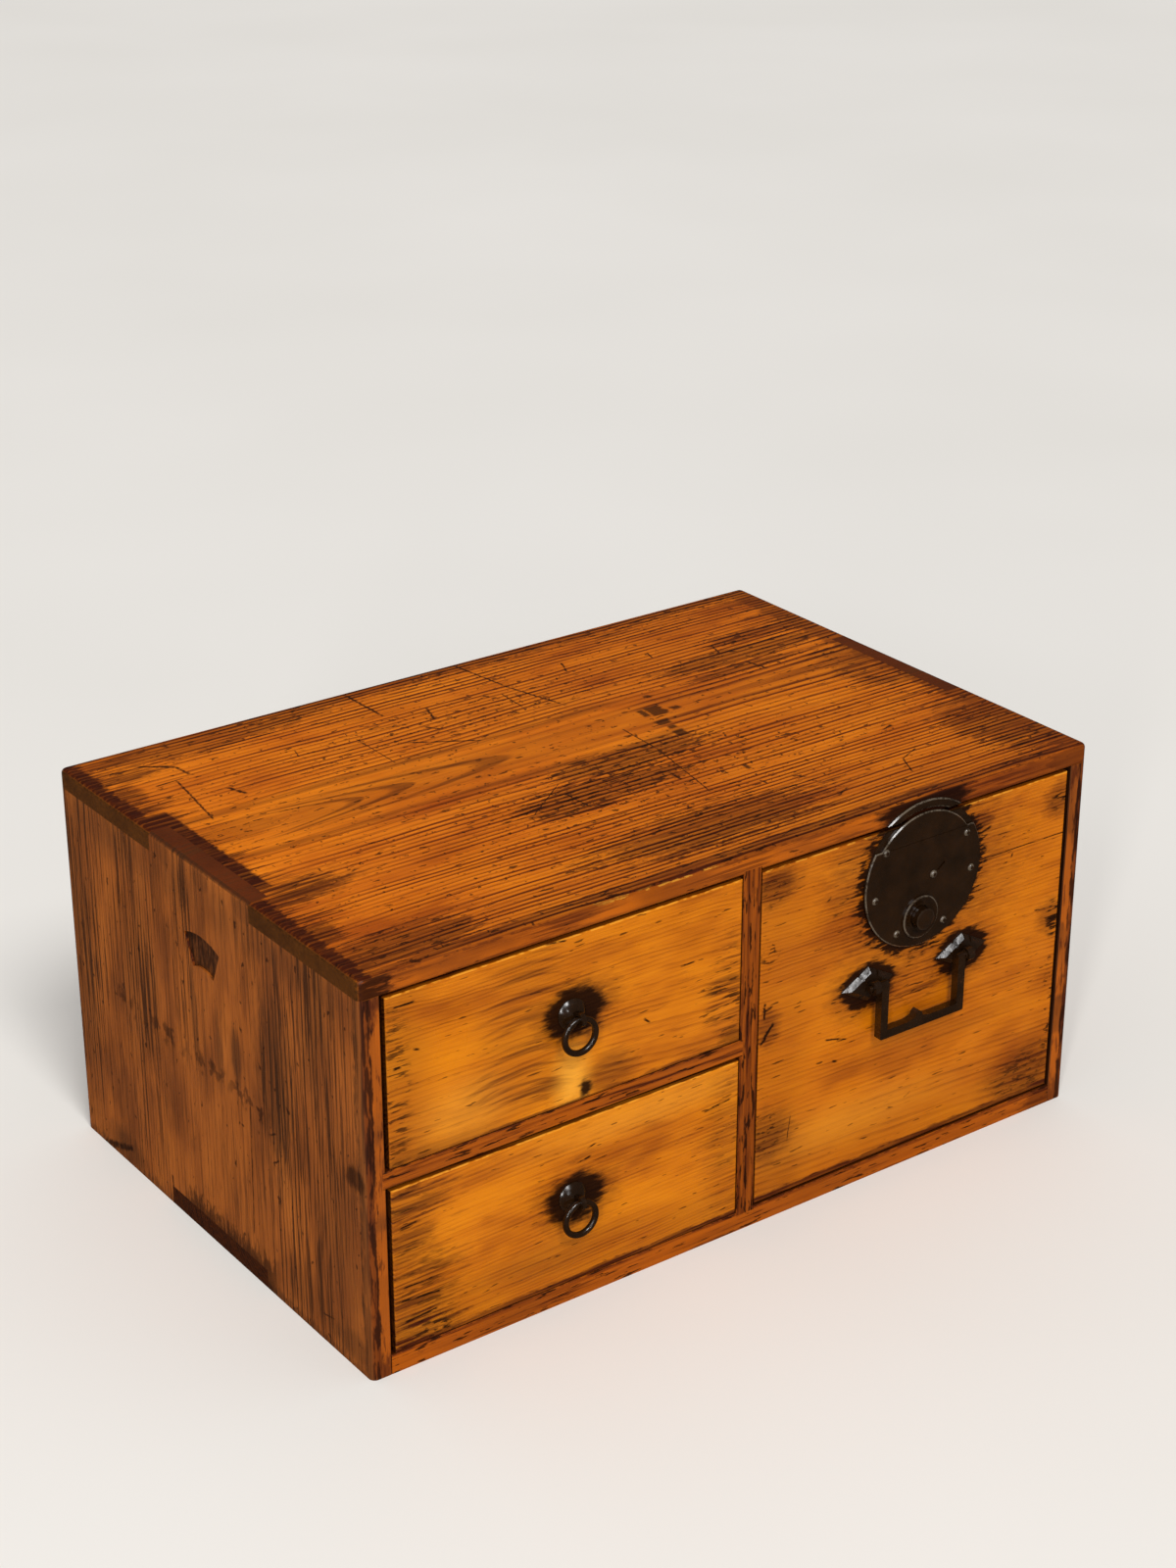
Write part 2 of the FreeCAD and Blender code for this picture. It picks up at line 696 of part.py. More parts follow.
def make_drawer_pegs(name, left, right, running, side_height, lip, rear):
    """Pegs through both sides into the front and the back, and up through the bottom."""
    pegs = []

    def add_peg(x, y, z, rotation):
        pegs.append(rod(name + "_peg_" + str(len(pegs) + 1), peg_radius, peg_length, x, y, z, rotation))

    boards_bottom = running + drawer_bottom_thickness
    front_line = lip + (front_thickness - front_lip) / 2
    back_line = rear - drawer_back_thickness / 2
    inset = drawer_side_thickness / 2
    for x, turn in ((left, 90), (right, -90)):
        for y in (front_line, back_line):
            for share in (0.18, 0.5, 0.82):
                add_peg(x, y, boards_bottom + side_height * share, Rotation(Vector(0, 1, 0), turn))
    for x in (left + inset, right - inset):
        for share in (0.15, 0.5, 0.85):
            add_peg(x, lip + (rear - lip) * share, running, UPRIGHT)
    group(name + "_pegs", pegs)


def drill_for_cotters(front, spots):
    """Holes through a drawer front for the cotters' shanks, at places from its lower left."""
    holes = sketch_on(front, "XZ_Plane")
    for spot in spots:
        circle(holes, spot, cotter_radius + cotter_hole_clearance)
    pocket(front, holes, front_thickness)


def make_small_drawer(name, running, top):
    centre_height = (running + top) / 2 + ring_rise

    def cut_front(front, left, front_bottom):
        drill_for_cotters(front, [(small_centre - left, centre_height - front_bottom)])

    make_drawer(name, small_left, small_right, running, top, running, cut_front)
    make_ring_pull(name, small_centre, centre_height)


def cut_big_front(front, left, front_bottom):
    """Everything the bail and the lock need in the big drawer's front."""
    pivot = bail_height - front_bottom
    spots = [(big_centre - left + bail_eye_offset * side, pivot) for side in (-1, 1)]
    drill_for_cotters(front, spots)

    button = (big_centre - left, button_height - front_bottom)
    head_bore = sketch_on(front, "XZ_Plane")
    circle(head_bore, button, button_radius + button_clearance)
    pocket(front, head_bore, button_travel - button_reach + button_head + button_clearance)
    shank_bore = sketch_on(front, "XZ_Plane")
    circle(shank_bore, button, button_shank_radius + button_clearance)
    pocket(front, shank_bore, mortise_floor)

    key_slot = sketch_on(front, "XZ_Plane")
    shift_x, shift_z = plate_centre - left, plate_height - front_bottom
    polygon(key_slot, [(shift_x + x, shift_z + z) for x, z in key_slot_corners(key_slot_margin)])
    pocket(front, key_slot, mortise_floor)

    mortise = sketch_on(front, "XZ_Plane", -front_thickness)
    half = lock_box_width / 2 + lock_box_clearance
    middle = lock_box_centre - left
    rectangle(
        mortise,
        (middle - half, lock_box_bottom - lock_box_clearance - front_bottom),
        (middle + half, lock_box_top + lock_box_clearance - front_bottom),
    )
    pocket(front, mortise, front_thickness - mortise_floor, reverse=True)

    bolt_slot = sketch_on(front, "XY_Plane", big_top - front_bottom)
    middle = bolt_centre - left
    half = bolt_neck_width / 2 + bolt_clearance
    rectangle(
        bolt_slot,
        (middle - half, bolt_front - bolt_clearance),
        (middle + half, bolt_back + bolt_clearance),
    )
    pocket(front, bolt_slot, big_top - lock_box_top)


# ---------------------------------------------------------------- ring pulls and cotters

def dome_steps(radius, hole, rim, height):
    """Half section of a domed washer: flat back, short rim, spherical top."""
    rise = height - rim
    bend = (radius * radius + rise * rise) / (rise * 2)
    centre = (0, as_size(height) - bend)
    crown = centre[1] + root(bend * bend - hole * hole)
    return [
        line_to((hole, 0)), line_to((radius, 0)), line_to((radius, rim)),
        arc_to((hole, crown), centre, 1, keep="x"),
    ]


def cut_eye_slot(body, height, eye_radius, eye_width):
    """Slot in the crown of a seat, where the cotter's eye sinks in."""
    drop = eye_radius - eye_sink
    half_length = root(eye_radius * eye_radius - drop * drop) + eye_slot_clearance
    half_width = eye_width / 2 + eye_slot_clearance
    slot = sketch_on(body, "XY_Plane", height - eye_sink - eye_slot_clearance)
    rectangle(slot, (-half_width, -half_length), (half_width, half_length))
    pocket(body, slot, height, reverse=True)


def make_cotter(name, x, z, reach, eye_radius, eye_hole, eye_width):
    """Split cotter: an eye, a shank through the drawer front, and two legs bent flat inside."""
    body = new_body(name)
    eye = sketch_on(body, "YZ_Plane", -eye_width / 2)
    circle(eye, (0, reach), eye_radius)
    circle(eye, (0, reach), eye_hole)
    pad(body, eye, eye_width)
    root_level = front_thickness + cotter_leg_radius
    shank = sketch_on(body, "XY_Plane", -root_level)
    circle(shank, (0, 0), cotter_radius)
    pad(body, shank, root_level + reach - (eye_radius + eye_hole) / 2)
    legs = sketch_on(body, "YZ_Plane", -cotter_leg_length)
    circle(legs, (0, -root_level), cotter_leg_radius)
    pad(body, legs, cotter_leg_length * 2)
    place(body, x, front_face, z, FACING_FRONT)


def make_ring_pull(name, x, z):
    """Domed seat, cotter and hanging ring of one small drawer."""
    seat = new_body(name + "_ring_seat")
    profile = sketch_on(seat, "XZ_Plane")
    hole = cotter_radius + cotter_hole_clearance
    outline(profile, dome_steps(ring_seat_radius, hole, ring_seat_rim, ring_seat_height))
    revolve(seat, profile)
    cut_eye_slot(seat, ring_seat_height, ring_eye_radius, ring_eye_width)
    place(seat, x, front_face, z, FACING_FRONT)

    eye_hole = ring_wire_radius + eye_clearance
    make_cotter(name + "_ring_cotter", x, z, ring_eye_reach, ring_eye_radius, eye_hole, ring_eye_width)

    ring = doc.addObject("Part::Torus", name + "_pull_ring")
    ring.Label = ring.Name
    bind(ring, "Radius1", ring_radius)
    bind(ring, "Radius2", ring_wire_radius)
    place(ring, x, front_face - ring_eye_reach, z - ring_radius, FACING_FRONT)
    pieces.append(ring)


# ---------------------------------------------------------------- bail handle

def seat_points(share):
    """Lozenge parted into four petals by a notch in each side; share scales it about its centre."""
    def on_side(x):
        return share * x, share * seat_half_height * (seat_half_length - x) / seat_half_length

    across, up = on_side(seat_notch_across)
    quarter = [
        on_side(seat_half_length),
        on_side(seat_notch_across + seat_notch_half_width),
        (across, up - share * seat_notch_depth),
        on_side(seat_notch_across - seat_notch_half_width),
        on_side(0),
    ]
    return (
        quarter[:-1]
        + [(-x, y) for x, y in quarter[:0:-1]]
        + [(-x, -y) for x, y in quarter[:-1]]
        + [(x, -y) for x, y in quarter[:0:-1]]
    )


def make_bail_seat(name, x):
    """Lozenge seat with a thin rim and facets that rise to a small crown."""
    body = new_body(name)
    rim = sketch_on(body, "XY_Plane")
    polygon(rim, seat_points(as_size(1)))
    pad(body, rim, seat_rim)
    base = sketch_on(body, "XY_Plane", seat_rim)
    polygon(base, seat_points(as_size(1)))
    crown = sketch_on(body, "XY_Plane", seat_height)
    polygon(crown, seat_points(seat_crown_share))
    loft = body.newObject("PartDesign::AdditiveLoft", name + "_loft")
    loft.Profile = base
    loft.Sections = [crown]
    loft.Ruled = True
    hole = sketch_on(body, "XY_Plane")
    circle(hole, (0, 0), cotter_radius + cotter_hole_clearance)
    pocket(body, hole, seat_height, reverse=True)
    cut_eye_slot(body, seat_height, bail_eye_radius, bail_eye_width)
    place(body, x, front_face, bail_height, FACING_FRONT)


def make_bail_handle():
    """Square-cornered bail with a small nub; its own origin is the middle of the pivot line."""
    body = new_body("bail_handle")
    half = bail_bar_width / 2
    outer, inner = bail_half_span + half, bail_half_span - half
    sill = bail_bar_width - bail_drop
    back = -bail_bar_depth / 2
    face = sketch_on(body, "XY_Plane", back)
    polygon(face, [
        (-outer, -bail_drop), (outer, -bail_drop), (outer, 0), (inner, 0),
        (inner, sill), (-inner, sill), (-inner, 0), (-outer, 0),
    ])
    pad(body, face, bail_bar_depth)
    ease(body, "Fillet", bail_rounding,
         {"x": outer, "y": -bail_drop}, {"x": -outer, "y": -bail_drop})

    nub = sketch_on(body, "XY_Plane", back)
    neck, swell = bail_nub_half_length * 0.35, bail_nub_half_length * 0.24
    low, high = sill + bail_nub_height * 0.25, sill + bail_nub_height * 0.7
    polygon(nub, [
        (bail_nub_offset + x, y) for x, y in (
            (0, sill - half), (bail_nub_half_length, sill), (neck, low), (swell, high),
            (0, sill + bail_nub_height), (-swell, high), (-neck, low), (-bail_nub_half_length, sill),
        )
    ])
    pad(body, nub, bail_bar_depth)

    for side in (-1, 1):
        knuckle = sketch_on(body, "YZ_Plane", inner * side)
        circle(knuckle, (0, 0), bail_bar_depth / 2)
        pad(body, knuckle, bail_bar_width, reverse=side < 0)
        for radius, length in ((bail_collar_radius, bail_collar_width), (bail_end_radius, bail_end_length)):
            end = sketch_on(body, "YZ_Plane", outer * side)
            circle(end, (0, 0), radius)
            pad(body, end, length, reverse=side < 0)
    place(body, big_centre, front_face - bail_eye_reach, bail_height, FACING_FRONT)


def make_bail():
    make_bail_handle()
    eye_hole = bail_end_radius + eye_clearance
    for word, side in (("left", -1), ("right", 1)):
        x = big_centre + bail_eye_offset * side
        make_bail_seat("bail_" + word + "_seat", x)
        make_cotter("bail_" + word + "_cotter", x, bail_height, bail_eye_reach,
                    bail_eye_radius, eye_hole, bail_eye_width)


# ---------------------------------------------------------------- lock

def key_slot_corners(margin):
    """Corners of the slanting key slot, measured from the lock plate's centre."""
    along, across = cosine(slit_angle), sine(slit_angle)
    half = slit_width / 2 + margin
    near, far = slit_start - margin, slit_end + margin
    corners = []
    for reach, side in ((near, -1), (far, -1), (far, 1), (near, 1)):
        offset = half * side - slit_offset
        corners.append((
            post_across + along * reach - across * offset,
            post_up + across * reach + along * offset,
        ))
    return corners


def make_lock_plate():
    """Round plate: a thin flange up to the drawer's edge, and a face with a smaller cap above."""
    body = new_body("lock_plate")
    flange_top = big_top - plate_flange_margin - plate_height
    flange_x = root(plate_radius * plate_radius - flange_top * flange_top)
    flange = sketch_on(body, "XY_Plane")
    outline(flange, [
        line_to((flange_x, flange_top), keep="y"),
        arc_to((-flange_x, flange_top), (0, 0), -1, radius=plate_radius),
    ])
    pad(body, flange, plate_flange)

    step_x = root(plate_radius * plate_radius - plate_step * plate_step)
    cap_x = root(plate_cap_radius * plate_cap_radius - plate_step * plate_step)
    face = sketch_on(body, "XY_Plane", plate_flange)
    outline(face, [
        line_to((cap_x, plate_step), keep="y"),
        arc_to((-cap_x, plate_step), (0, 0), 1, radius=plate_cap_radius),
        line_to((-step_x, plate_step), keep="y"),
        arc_to((step_x, plate_step), (0, 0), 1, radius=plate_radius),
    ])
    pad(body, face, plate_face)
    ease(body, "Chamfer", plate_chamfer, {"z": plate_proud})
    crease = sketch_on(body, "XY_Plane", plate_proud)
    rectangle(crease, (-cap_x, plate_step - crease_width), (cap_x, plate_step))
    pocket(body, crease, crease_depth)

    button = (big_centre - plate_centre, button_height - plate_height)
    hole = button_radius + button_clearance
    base, top = plate_flange, plate_proud + boss_height
    boss = sketch_on(body, "XZ_Plane")
    polygon(boss, [
        (hole, base), (boss_radius, base), (boss_radius, top - boss_height * 0.35),
        (boss_radius - boss_rim * 0.5, top), (boss_radius - boss_rim, top),
        (hole + boss_rim, top - boss_dish), (hole, top - boss_dish),
    ])
    bind(boss, "AttachmentOffset.Base.x", button[0])
    bind(boss, "AttachmentOffset.Base.z", -button[1])
    revolve(body, boss)

    openings = sketch_on(body, "XY_Plane")
    circle(openings, button, hole)
    polygon(openings, key_slot_corners(as_size(0)))
    pocket(body, openings, top, reverse=True)
    place(body, plate_centre, front_face, plate_height, FACING_FRONT)


def make_lock_nails():
    """Six domed nails round the plate: heads on its face, shanks in the drawer front."""
    nails = []
    rise = nail_head_height
    bend = (nail_head_radius * nail_head_radius + rise * rise) / (rise * 2)
    for degrees in NAIL_ANGLES:
        nail = doc.addObject("PartDesign::Body", "lock_nail_" + str(degrees))
        half = sketch_on(nail, "XZ_Plane")
        outline(half, [
            line_to((0, -nail_length)), line_to((nail_shank_radius, -nail_length)),
            line_to((nail_shank_radius, 0)), line_to((nail_head_radius, 0)),
            arc_to((0, rise), (0, rise - bend), 1, keep="x"),
        ])
        revolve(nail, half)
        angle = as_size(degrees)
        place(
            nail, plate_centre + nail_circle_radius * cosine(angle), front_face - plate_proud,
            plate_height + nail_circle_radius * sine(angle), FACING_FRONT,
        )
        nails.append(nail)
    group("lock_nails", nails)


def make_key_post():
    """Round-ended post that the key's pipe slips over."""
    body = new_body("key_post")
    half = sketch_on(body, "XZ_Plane")
    tip = post_reach - post_radius
    outline(half, [
        line_to((0, -mortise_floor)), line_to((post_radius, -mortise_floor)), line_to((post_radius, tip)),
        arc_to((0, post_reach), (0, tip), 1, keep="x"),
    ])
    revolve(body, half)
    place(body, plate_centre + post_across, front_face, plate_height + post_up, FACING_FRONT)


def make_lock_box():
    """Iron box let into the back of the drawer front, behind a plate nailed over the mortise."""
    body = new_body("lock_box")
    depth = front_thickness - mortise_floor
    half = lock_box_width / 2
    wall = lock_box_wall
    cover = sketch_on(body, "XY_Plane", -front_thickness)
    rectangle(cover, (-half, -lock_flange_margin), (half, lock_box_height + lock_flange_margin))
    pad(body, cover, lock_flange_thickness, reverse=True)
    walls = sketch_on(body, "XY_Plane", -front_thickness)
    rectangle(walls, (-half, 0), (half, lock_box_height))
    rectangle(walls, (-half + wall, wall), (half - wall, lock_box_height - wall))
    pad(body, walls, depth)
    slot = sketch_on(body, "XZ_Plane", -lock_box_height)
    middle = bolt_centre - lock_box_centre
    reach = bolt_neck_width / 2 + bolt_clearance
    rectangle(
        slot,
        (middle - reach, -bolt_back - bolt_clearance),
        (middle + reach, -bolt_front + bolt_clearance),
    )
    pocket(body, slot, wall, reverse=True)
    place(body, lock_box_centre, front_face, lock_box_bottom, FACING_FRONT)

    nails = []
    inset = lock_flange_margin / 2
    head = front_face + front_thickness + lock_flange_thickness + lock_box_nail_proud
    for x in (lock_box_centre - half * 0.82, lock_box_centre + half * 0.82):
        for z in (lock_box_bottom - inset, lock_box_top + inset):
            name = "lock_box_nail_" + str(len(nails) + 1)
            nails.append(rod(name, lock_box_nail_radius, lock_box_nail_length, x, head, z, FACING_FRONT))
    group("lock_box_nails", nails)


def make_lock_bolt():
    """Flat bolt with a ramp at its foot, two shoulders for the springs and a notch for the key."""
    body = new_body("lock_bolt")
    wide, neck = bolt_width / 2, bolt_neck_width / 2
    shoulder = bolt_shoulder_height - bolt_foot
    height = bolt_top - bolt_foot
    notch = plate_height - bolt_notch_below_plate - bolt_foot
    face = sketch_on(body, "XY_Plane")
    outline(face, [
        line_to((-wide, 0)), line_to((wide, 0)), line_to((wide, notch - bolt_notch_radius)),
        arc_to((wide, notch + bolt_notch_radius), (wide, notch), -1, keep="x"),
        line_to((wide, shoulder)), line_to((neck, shoulder)), line_to((neck, height)),
        line_to((-neck, height)), line_to((-neck, shoulder)), line_to((-wide, shoulder)),
    ])
    pad(body, face, bolt_thickness)
    ramp = sketch_on(body, "YZ_Plane", wide)
    polygon(ramp, [(0, 0), (bolt_thickness, bolt_thickness), (0, bolt_thickness)])
    pocket(body, ramp, bolt_width)
    place(body, bolt_centre, front_face + bolt_back, bolt_foot, FACING_FRONT)


def make_lock_button():
    """Domed push button; the ramp at the inner end of its shank lifts the bolt."""
    body = new_body("lock_button")
    shoulder = button_reach - button_head
    bend = (button_radius * button_radius + button_dome * button_dome) / (button_dome * 2)
    half = sketch_on(body, "XZ_Plane")
    outline(half, [
        line_to((0, -nose_reach)), line_to((button_shank_radius, -nose_reach)),
        line_to((button_shank_radius, shoulder)), line_to((button_radius, shoulder)),
        line_to((button_radius, button_reach - button_dome)),
        arc_to((0, button_reach), (0, button_reach - bend), 1, keep="x"),
    ])
    revolve(body, half)
    ramp = sketch_on(body, "YZ_Plane", button_shank_radius)
    rise = button_shank_radius + nose_below
    polygon(ramp, [
        (-nose_below, -nose_reach), (button_shank_radius, -nose_reach),
        (button_shank_radius, rise - nose_reach),
    ])
    pocket(body, ramp, button_shank_radius * 2)
    place(body, big_centre, front_face, button_height, FACING_FRONT)


def make_lock_spring():
    """Bent strip spring on each side of the bolt's neck, from its shoulder to the box's top."""
    base = bolt_shoulder_height + spring_gap
    height = lock_box_top - lock_box_wall - spring_gap - base
    near = bolt_neck_width / 2 + spring_gap
    far = near + spring_width
    strip = spring_strip * 1.5
    springs = []
    for side in (-1, 1):
        body = doc.addObject("PartDesign::Body", "lock_spring_" + ("left" if side < 0 else "right"))
        band = sketch_on(body, "XY_Plane")
        polygon(band, [(x * side, z) for x, z in (
            (near, 0), (near + strip, 0), (far, height / 2), (near + strip, height), (near, height),
            (far - strip, height / 2),
        )])
        pad(body, band, bolt_thickness)
        place(body, bolt_centre, front_face + bolt_back, base, FACING_FRONT)
        springs.append(body)
    group("lock_spring", springs)


# ---------------------------------------------------------------- the chest

make_top_board()
make_bottom_board()
make_side("left_side", -1)
make_side("right_side", 1)
make_back_board()
make_back_pegs()
make_divider()
make_shelf()
make_strike_plate()
make_small_drawer("upper_drawer", rail_top + running_gap, big_top)
make_small_drawer("lower_drawer", floor + running_gap, rail_bottom - top_gap)
make_drawer("big_drawer", big_left, big_right, floor + running_gap, big_top, big_bottom, cut_big_front)
make_bail()
make_lock_plate()
make_lock_nails()
make_key_post()
make_lock_box()
make_lock_bolt()
make_lock_button()
make_lock_spring()

doc.recompute()
for item in doc.Objects:
    if "Invalid" in item.State or "Error" in item.State:
        raise RuntimeError(item.Name + " did not build: " + str(item.State))
os.makedirs("parts", exist_ok=True)
for item in pieces:
    shape = item.Shape
    if shape.isNull() or not shape.isValid() or shape.Volume <= 0:
        raise RuntimeError(item.Label + " has no valid solid")
    shape.exportStep("parts/" + item.Label + ".step")
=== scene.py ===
import functools
import math
import operator

import bpy
from mathutils import Matrix, Vector


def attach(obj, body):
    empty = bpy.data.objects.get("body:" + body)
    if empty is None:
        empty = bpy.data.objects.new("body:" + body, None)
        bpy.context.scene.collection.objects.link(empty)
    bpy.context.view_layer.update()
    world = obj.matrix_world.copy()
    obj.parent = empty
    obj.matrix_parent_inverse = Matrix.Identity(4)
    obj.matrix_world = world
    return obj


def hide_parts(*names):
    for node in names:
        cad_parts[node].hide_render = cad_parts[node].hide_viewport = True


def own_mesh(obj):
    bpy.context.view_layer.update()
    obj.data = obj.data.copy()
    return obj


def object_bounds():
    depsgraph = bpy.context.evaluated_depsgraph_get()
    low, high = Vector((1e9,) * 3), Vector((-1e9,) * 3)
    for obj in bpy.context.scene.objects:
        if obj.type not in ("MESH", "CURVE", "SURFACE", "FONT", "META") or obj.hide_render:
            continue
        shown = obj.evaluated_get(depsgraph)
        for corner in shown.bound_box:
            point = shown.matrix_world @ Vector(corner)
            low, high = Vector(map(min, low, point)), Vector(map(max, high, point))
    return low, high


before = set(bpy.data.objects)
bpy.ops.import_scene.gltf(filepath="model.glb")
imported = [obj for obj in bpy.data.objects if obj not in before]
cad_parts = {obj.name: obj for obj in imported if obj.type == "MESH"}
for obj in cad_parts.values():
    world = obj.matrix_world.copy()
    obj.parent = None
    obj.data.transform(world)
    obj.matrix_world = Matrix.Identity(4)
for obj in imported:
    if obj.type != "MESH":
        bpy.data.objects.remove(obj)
cad_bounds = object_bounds()

MM = 1000.0

# The case's outer faces, in millimetres: x runs to the right, y to the back and z up. The case
# stands in the middle of the frame, and only the iron stands out from it, at the front.
low_corner, high_corner = cad_bounds
LEFT, RIGHT = round(low_corner.x * MM, 1), round(high_corner.x * MM, 1)
BACK, TOP = round(high_corner.y * MM, 1), round(high_corner.z * MM, 1)
FRONT = -BACK
PAST = 15  # a band of wear that covers an edge runs on this far past it
LOCK_X = 110  # the middle of the lock
RING_X = -107  # the middle of both pull rings


# ---------------------------------------------------------------- shader fields

def linear(red, green, blue):
    """A colour given as 0-255 screen values, as the shader's own linear colour."""
    channels = []
    for value in (red, green, blue):
        value /= 255
        channels.append(value / 12.92 if value <= 0.04045 else ((value + 0.055) / 1.055) ** 2.4)
    return (*channels, 1.0)


class Field:
    """A value that varies over a surface: one output socket, with arithmetic that makes nodes."""

    def __init__(self, graph, socket):
        self.graph = graph
        self.socket = socket

    def maths(self, operation, *others, clamp=False):
        """One Math node, with this field as its first value."""
        node = self.graph.new("ShaderNodeMath", operation=operation, use_clamp=clamp)
        self.graph.feed(node.inputs[0], self)
        for number, other in enumerate(others, 1):
            self.graph.feed(node.inputs[number], other)
        return Field(self.graph, node.outputs[0])

    def __add__(self, other):
        return self.maths("ADD", other)

    def __sub__(self, other):
        return self.maths("SUBTRACT", other)

    def __rsub__(self, other):
        return (self * -1) + other

    def __mul__(self, other):
        return self.maths("MULTIPLY", other)

    def __truediv__(self, other):
        return self.maths("DIVIDE", other)

    __radd__ = __add__

    def __or__(self, other):
        """The larger of two masks: marked where either of them is marked."""
        return self.maths("MAXIMUM", other)

    def absolute(self):
        return self.maths("ABSOLUTE")

    def clamped(self):
        return self.maths("ADD", 0, clamp=True)

    def smaller(self, other):
        return self.maths("MINIMUM", other)

    def root(self):
        return self.maths("SQRT")

    def fraction(self):
        return self.maths("FRACT")

    def whole(self):
        return self.maths("FLOOR")

    def rise(self, start, end, low=0.0, high=1.0):
        """Smooth step: low at start and before it, high at end and after it. A start above
        the end turns it round, so the mask then marks the small values."""
        node = self.graph.new("ShaderNodeMapRange", interpolation_type="SMOOTHSTEP", clamp=True)
        for number, value in enumerate((self, start, end, low, high)):
            self.graph.feed(node.inputs[number], value)
        return Field(self.graph, node.outputs[0])


def union(masks):
    """Several masks in one: marked where any of them is marked."""
    return functools.reduce(operator.or_, masks)


class Graph:
    """One material's nodes. x, y and z are the place on the chest at rest, in millimetres,
    and normal is the surface's direction along those three axes."""

    MIX_LOW, MIX_HIGH, MIX_RESULT = 6, 7, 2  # a Mix node's sockets for colours

    def __init__(self, name):
        self.material = bpy.data.materials.new(name)
        self.material.use_nodes = True
        self.tree = self.material.node_tree
        self.shader = self.tree.nodes["Principled BSDF"]
        place = self.new("ShaderNodeTexCoord")
        split = self.new("ShaderNodeSeparateXYZ")
        self.tree.links.new(place.outputs["Object"], split.inputs[0])
        self.x, self.y, self.z = (Field(self, split.outputs[i]) * MM for i in range(3))
        normals = self.new("ShaderNodeSeparateXYZ")
        self.tree.links.new(place.outputs["Normal"], normals.inputs[0])
        self.normal = [Field(self, normals.outputs[i]) for i in range(3)]

    def new(self, kind, **settings):
        node = self.tree.nodes.new(kind)
        for name, value in settings.items():
            setattr(node, name, value)
        return node

    def feed(self, socket, value):
        """Link a field to a socket, or set the socket to a plain value."""
        if isinstance(value, Field):
            self.tree.links.new(value.socket, socket)
        else:
            socket.default_value = value

    def point(self, a, b, c):
        """A place made of three fields or numbers."""
        node = self.new("ShaderNodeCombineXYZ")
        for number, value in enumerate((a, b, c)):
            self.feed(node.inputs[number], value)
        return Field(self, node.outputs[0])

    def vector(self, operation, place, other=(0, 0, 0), shift=(0, 0, 0), output=0):
        """One Vector Math node; its output 1 is a single number, such as a length."""
        node = self.new("ShaderNodeVectorMath", operation=operation)
        self.tree.links.new(place.socket, node.inputs[0])
        node.inputs[1].default_value = other
        node.inputs[2].default_value = shift
        return Field(self, node.outputs[output])

    def noise(self, a, b, c, detail=2.0, roughness=0.5):
        """Fractal noise, mostly 0.3 to 0.7, at a place given by three fields."""
        node = self.new("ShaderNodeTexNoise", noise_dimensions="3D")
        self.feed(node.inputs["Vector"], self.point(a, b, c))
        node.inputs["Scale"].default_value = 1.0
        node.inputs["Detail"].default_value = detail
        node.inputs["Roughness"].default_value = roughness
        return Field(self, node.outputs["Fac"])

    def even_noise(self, scale, detail=2.0, roughness=0.5):
        """Noise with the same scale on every axis, in cycles per millimetre."""
        return self.noise(self.x * scale, self.y * scale, self.z * scale, detail, roughness)

    def speckle(self, a, b, c):
        """Random value from 0 to 1, one for each whole-numbered cell."""
        node = self.new("ShaderNodeTexWhiteNoise", noise_dimensions="3D")
        self.feed(node.inputs["Vector"], self.point(a, b, c))
        return Field(self, node.outputs["Value"])

    def blend(self, low, high, share):
        """Mix of two colours by a share from 0 to 1."""
        node = self.new("ShaderNodeMix", data_type="RGBA")
        self.feed(node.inputs["Factor"], share)
        self.feed(node.inputs[self.MIX_LOW], low)
        self.feed(node.inputs[self.MIX_HIGH], high)
        return Field(self, node.outputs[self.MIX_RESULT])

    def finish(self, colour, roughness, height, specular):
        """Connect the shader. height is in millimetres."""
        self.feed(self.shader.inputs["Base Color"], colour)
        self.feed(self.shader.inputs["Roughness"], roughness)
        self.shader.inputs["Specular IOR Level"].default_value = specular
        bump = self.new("ShaderNodeBump")
        bump.inputs["Distance"].default_value = 1 / MM
        self.feed(bump.inputs["Height"], height)
        self.tree.links.new(bump.outputs[0], self.shader.inputs["Normal"])
        return self.material


# ---------------------------------------------------------------- lacquered wood

AMBER = linear(206, 121, 8)
AMBER_DEEP = linear(172, 84, 4)
AMBER_WORN = linear(200, 114, 6)
AMBER_WORN_DEEP = linear(170, 83, 4)
ORANGE = linear(240, 132, 12)
ORANGE_DEEP = linear(188, 84, 4)
RUST = linear(136, 66, 8)
BROWN = linear(174, 96, 30)
BROWN_DEEP = linear(132, 65, 20)
CAP = linear(104, 44, 8)
CAP_DEEP = linear(80, 32, 6)
GRAIN_DARK = linear(108, 44, 4)
GRAIN_TOP = linear(116, 48, 5)
GRAIN_SIDE = linear(84, 42, 12)
SOOT = linear(24, 7, 2)
STAIN = linear(66, 22, 4)
STAIN_BROWN = linear(62, 34, 14)
END_GRAIN = linear(72, 40, 9)
END_GRAIN_DEEP = linear(44, 26, 6)
PALE = linear(230, 158, 48)


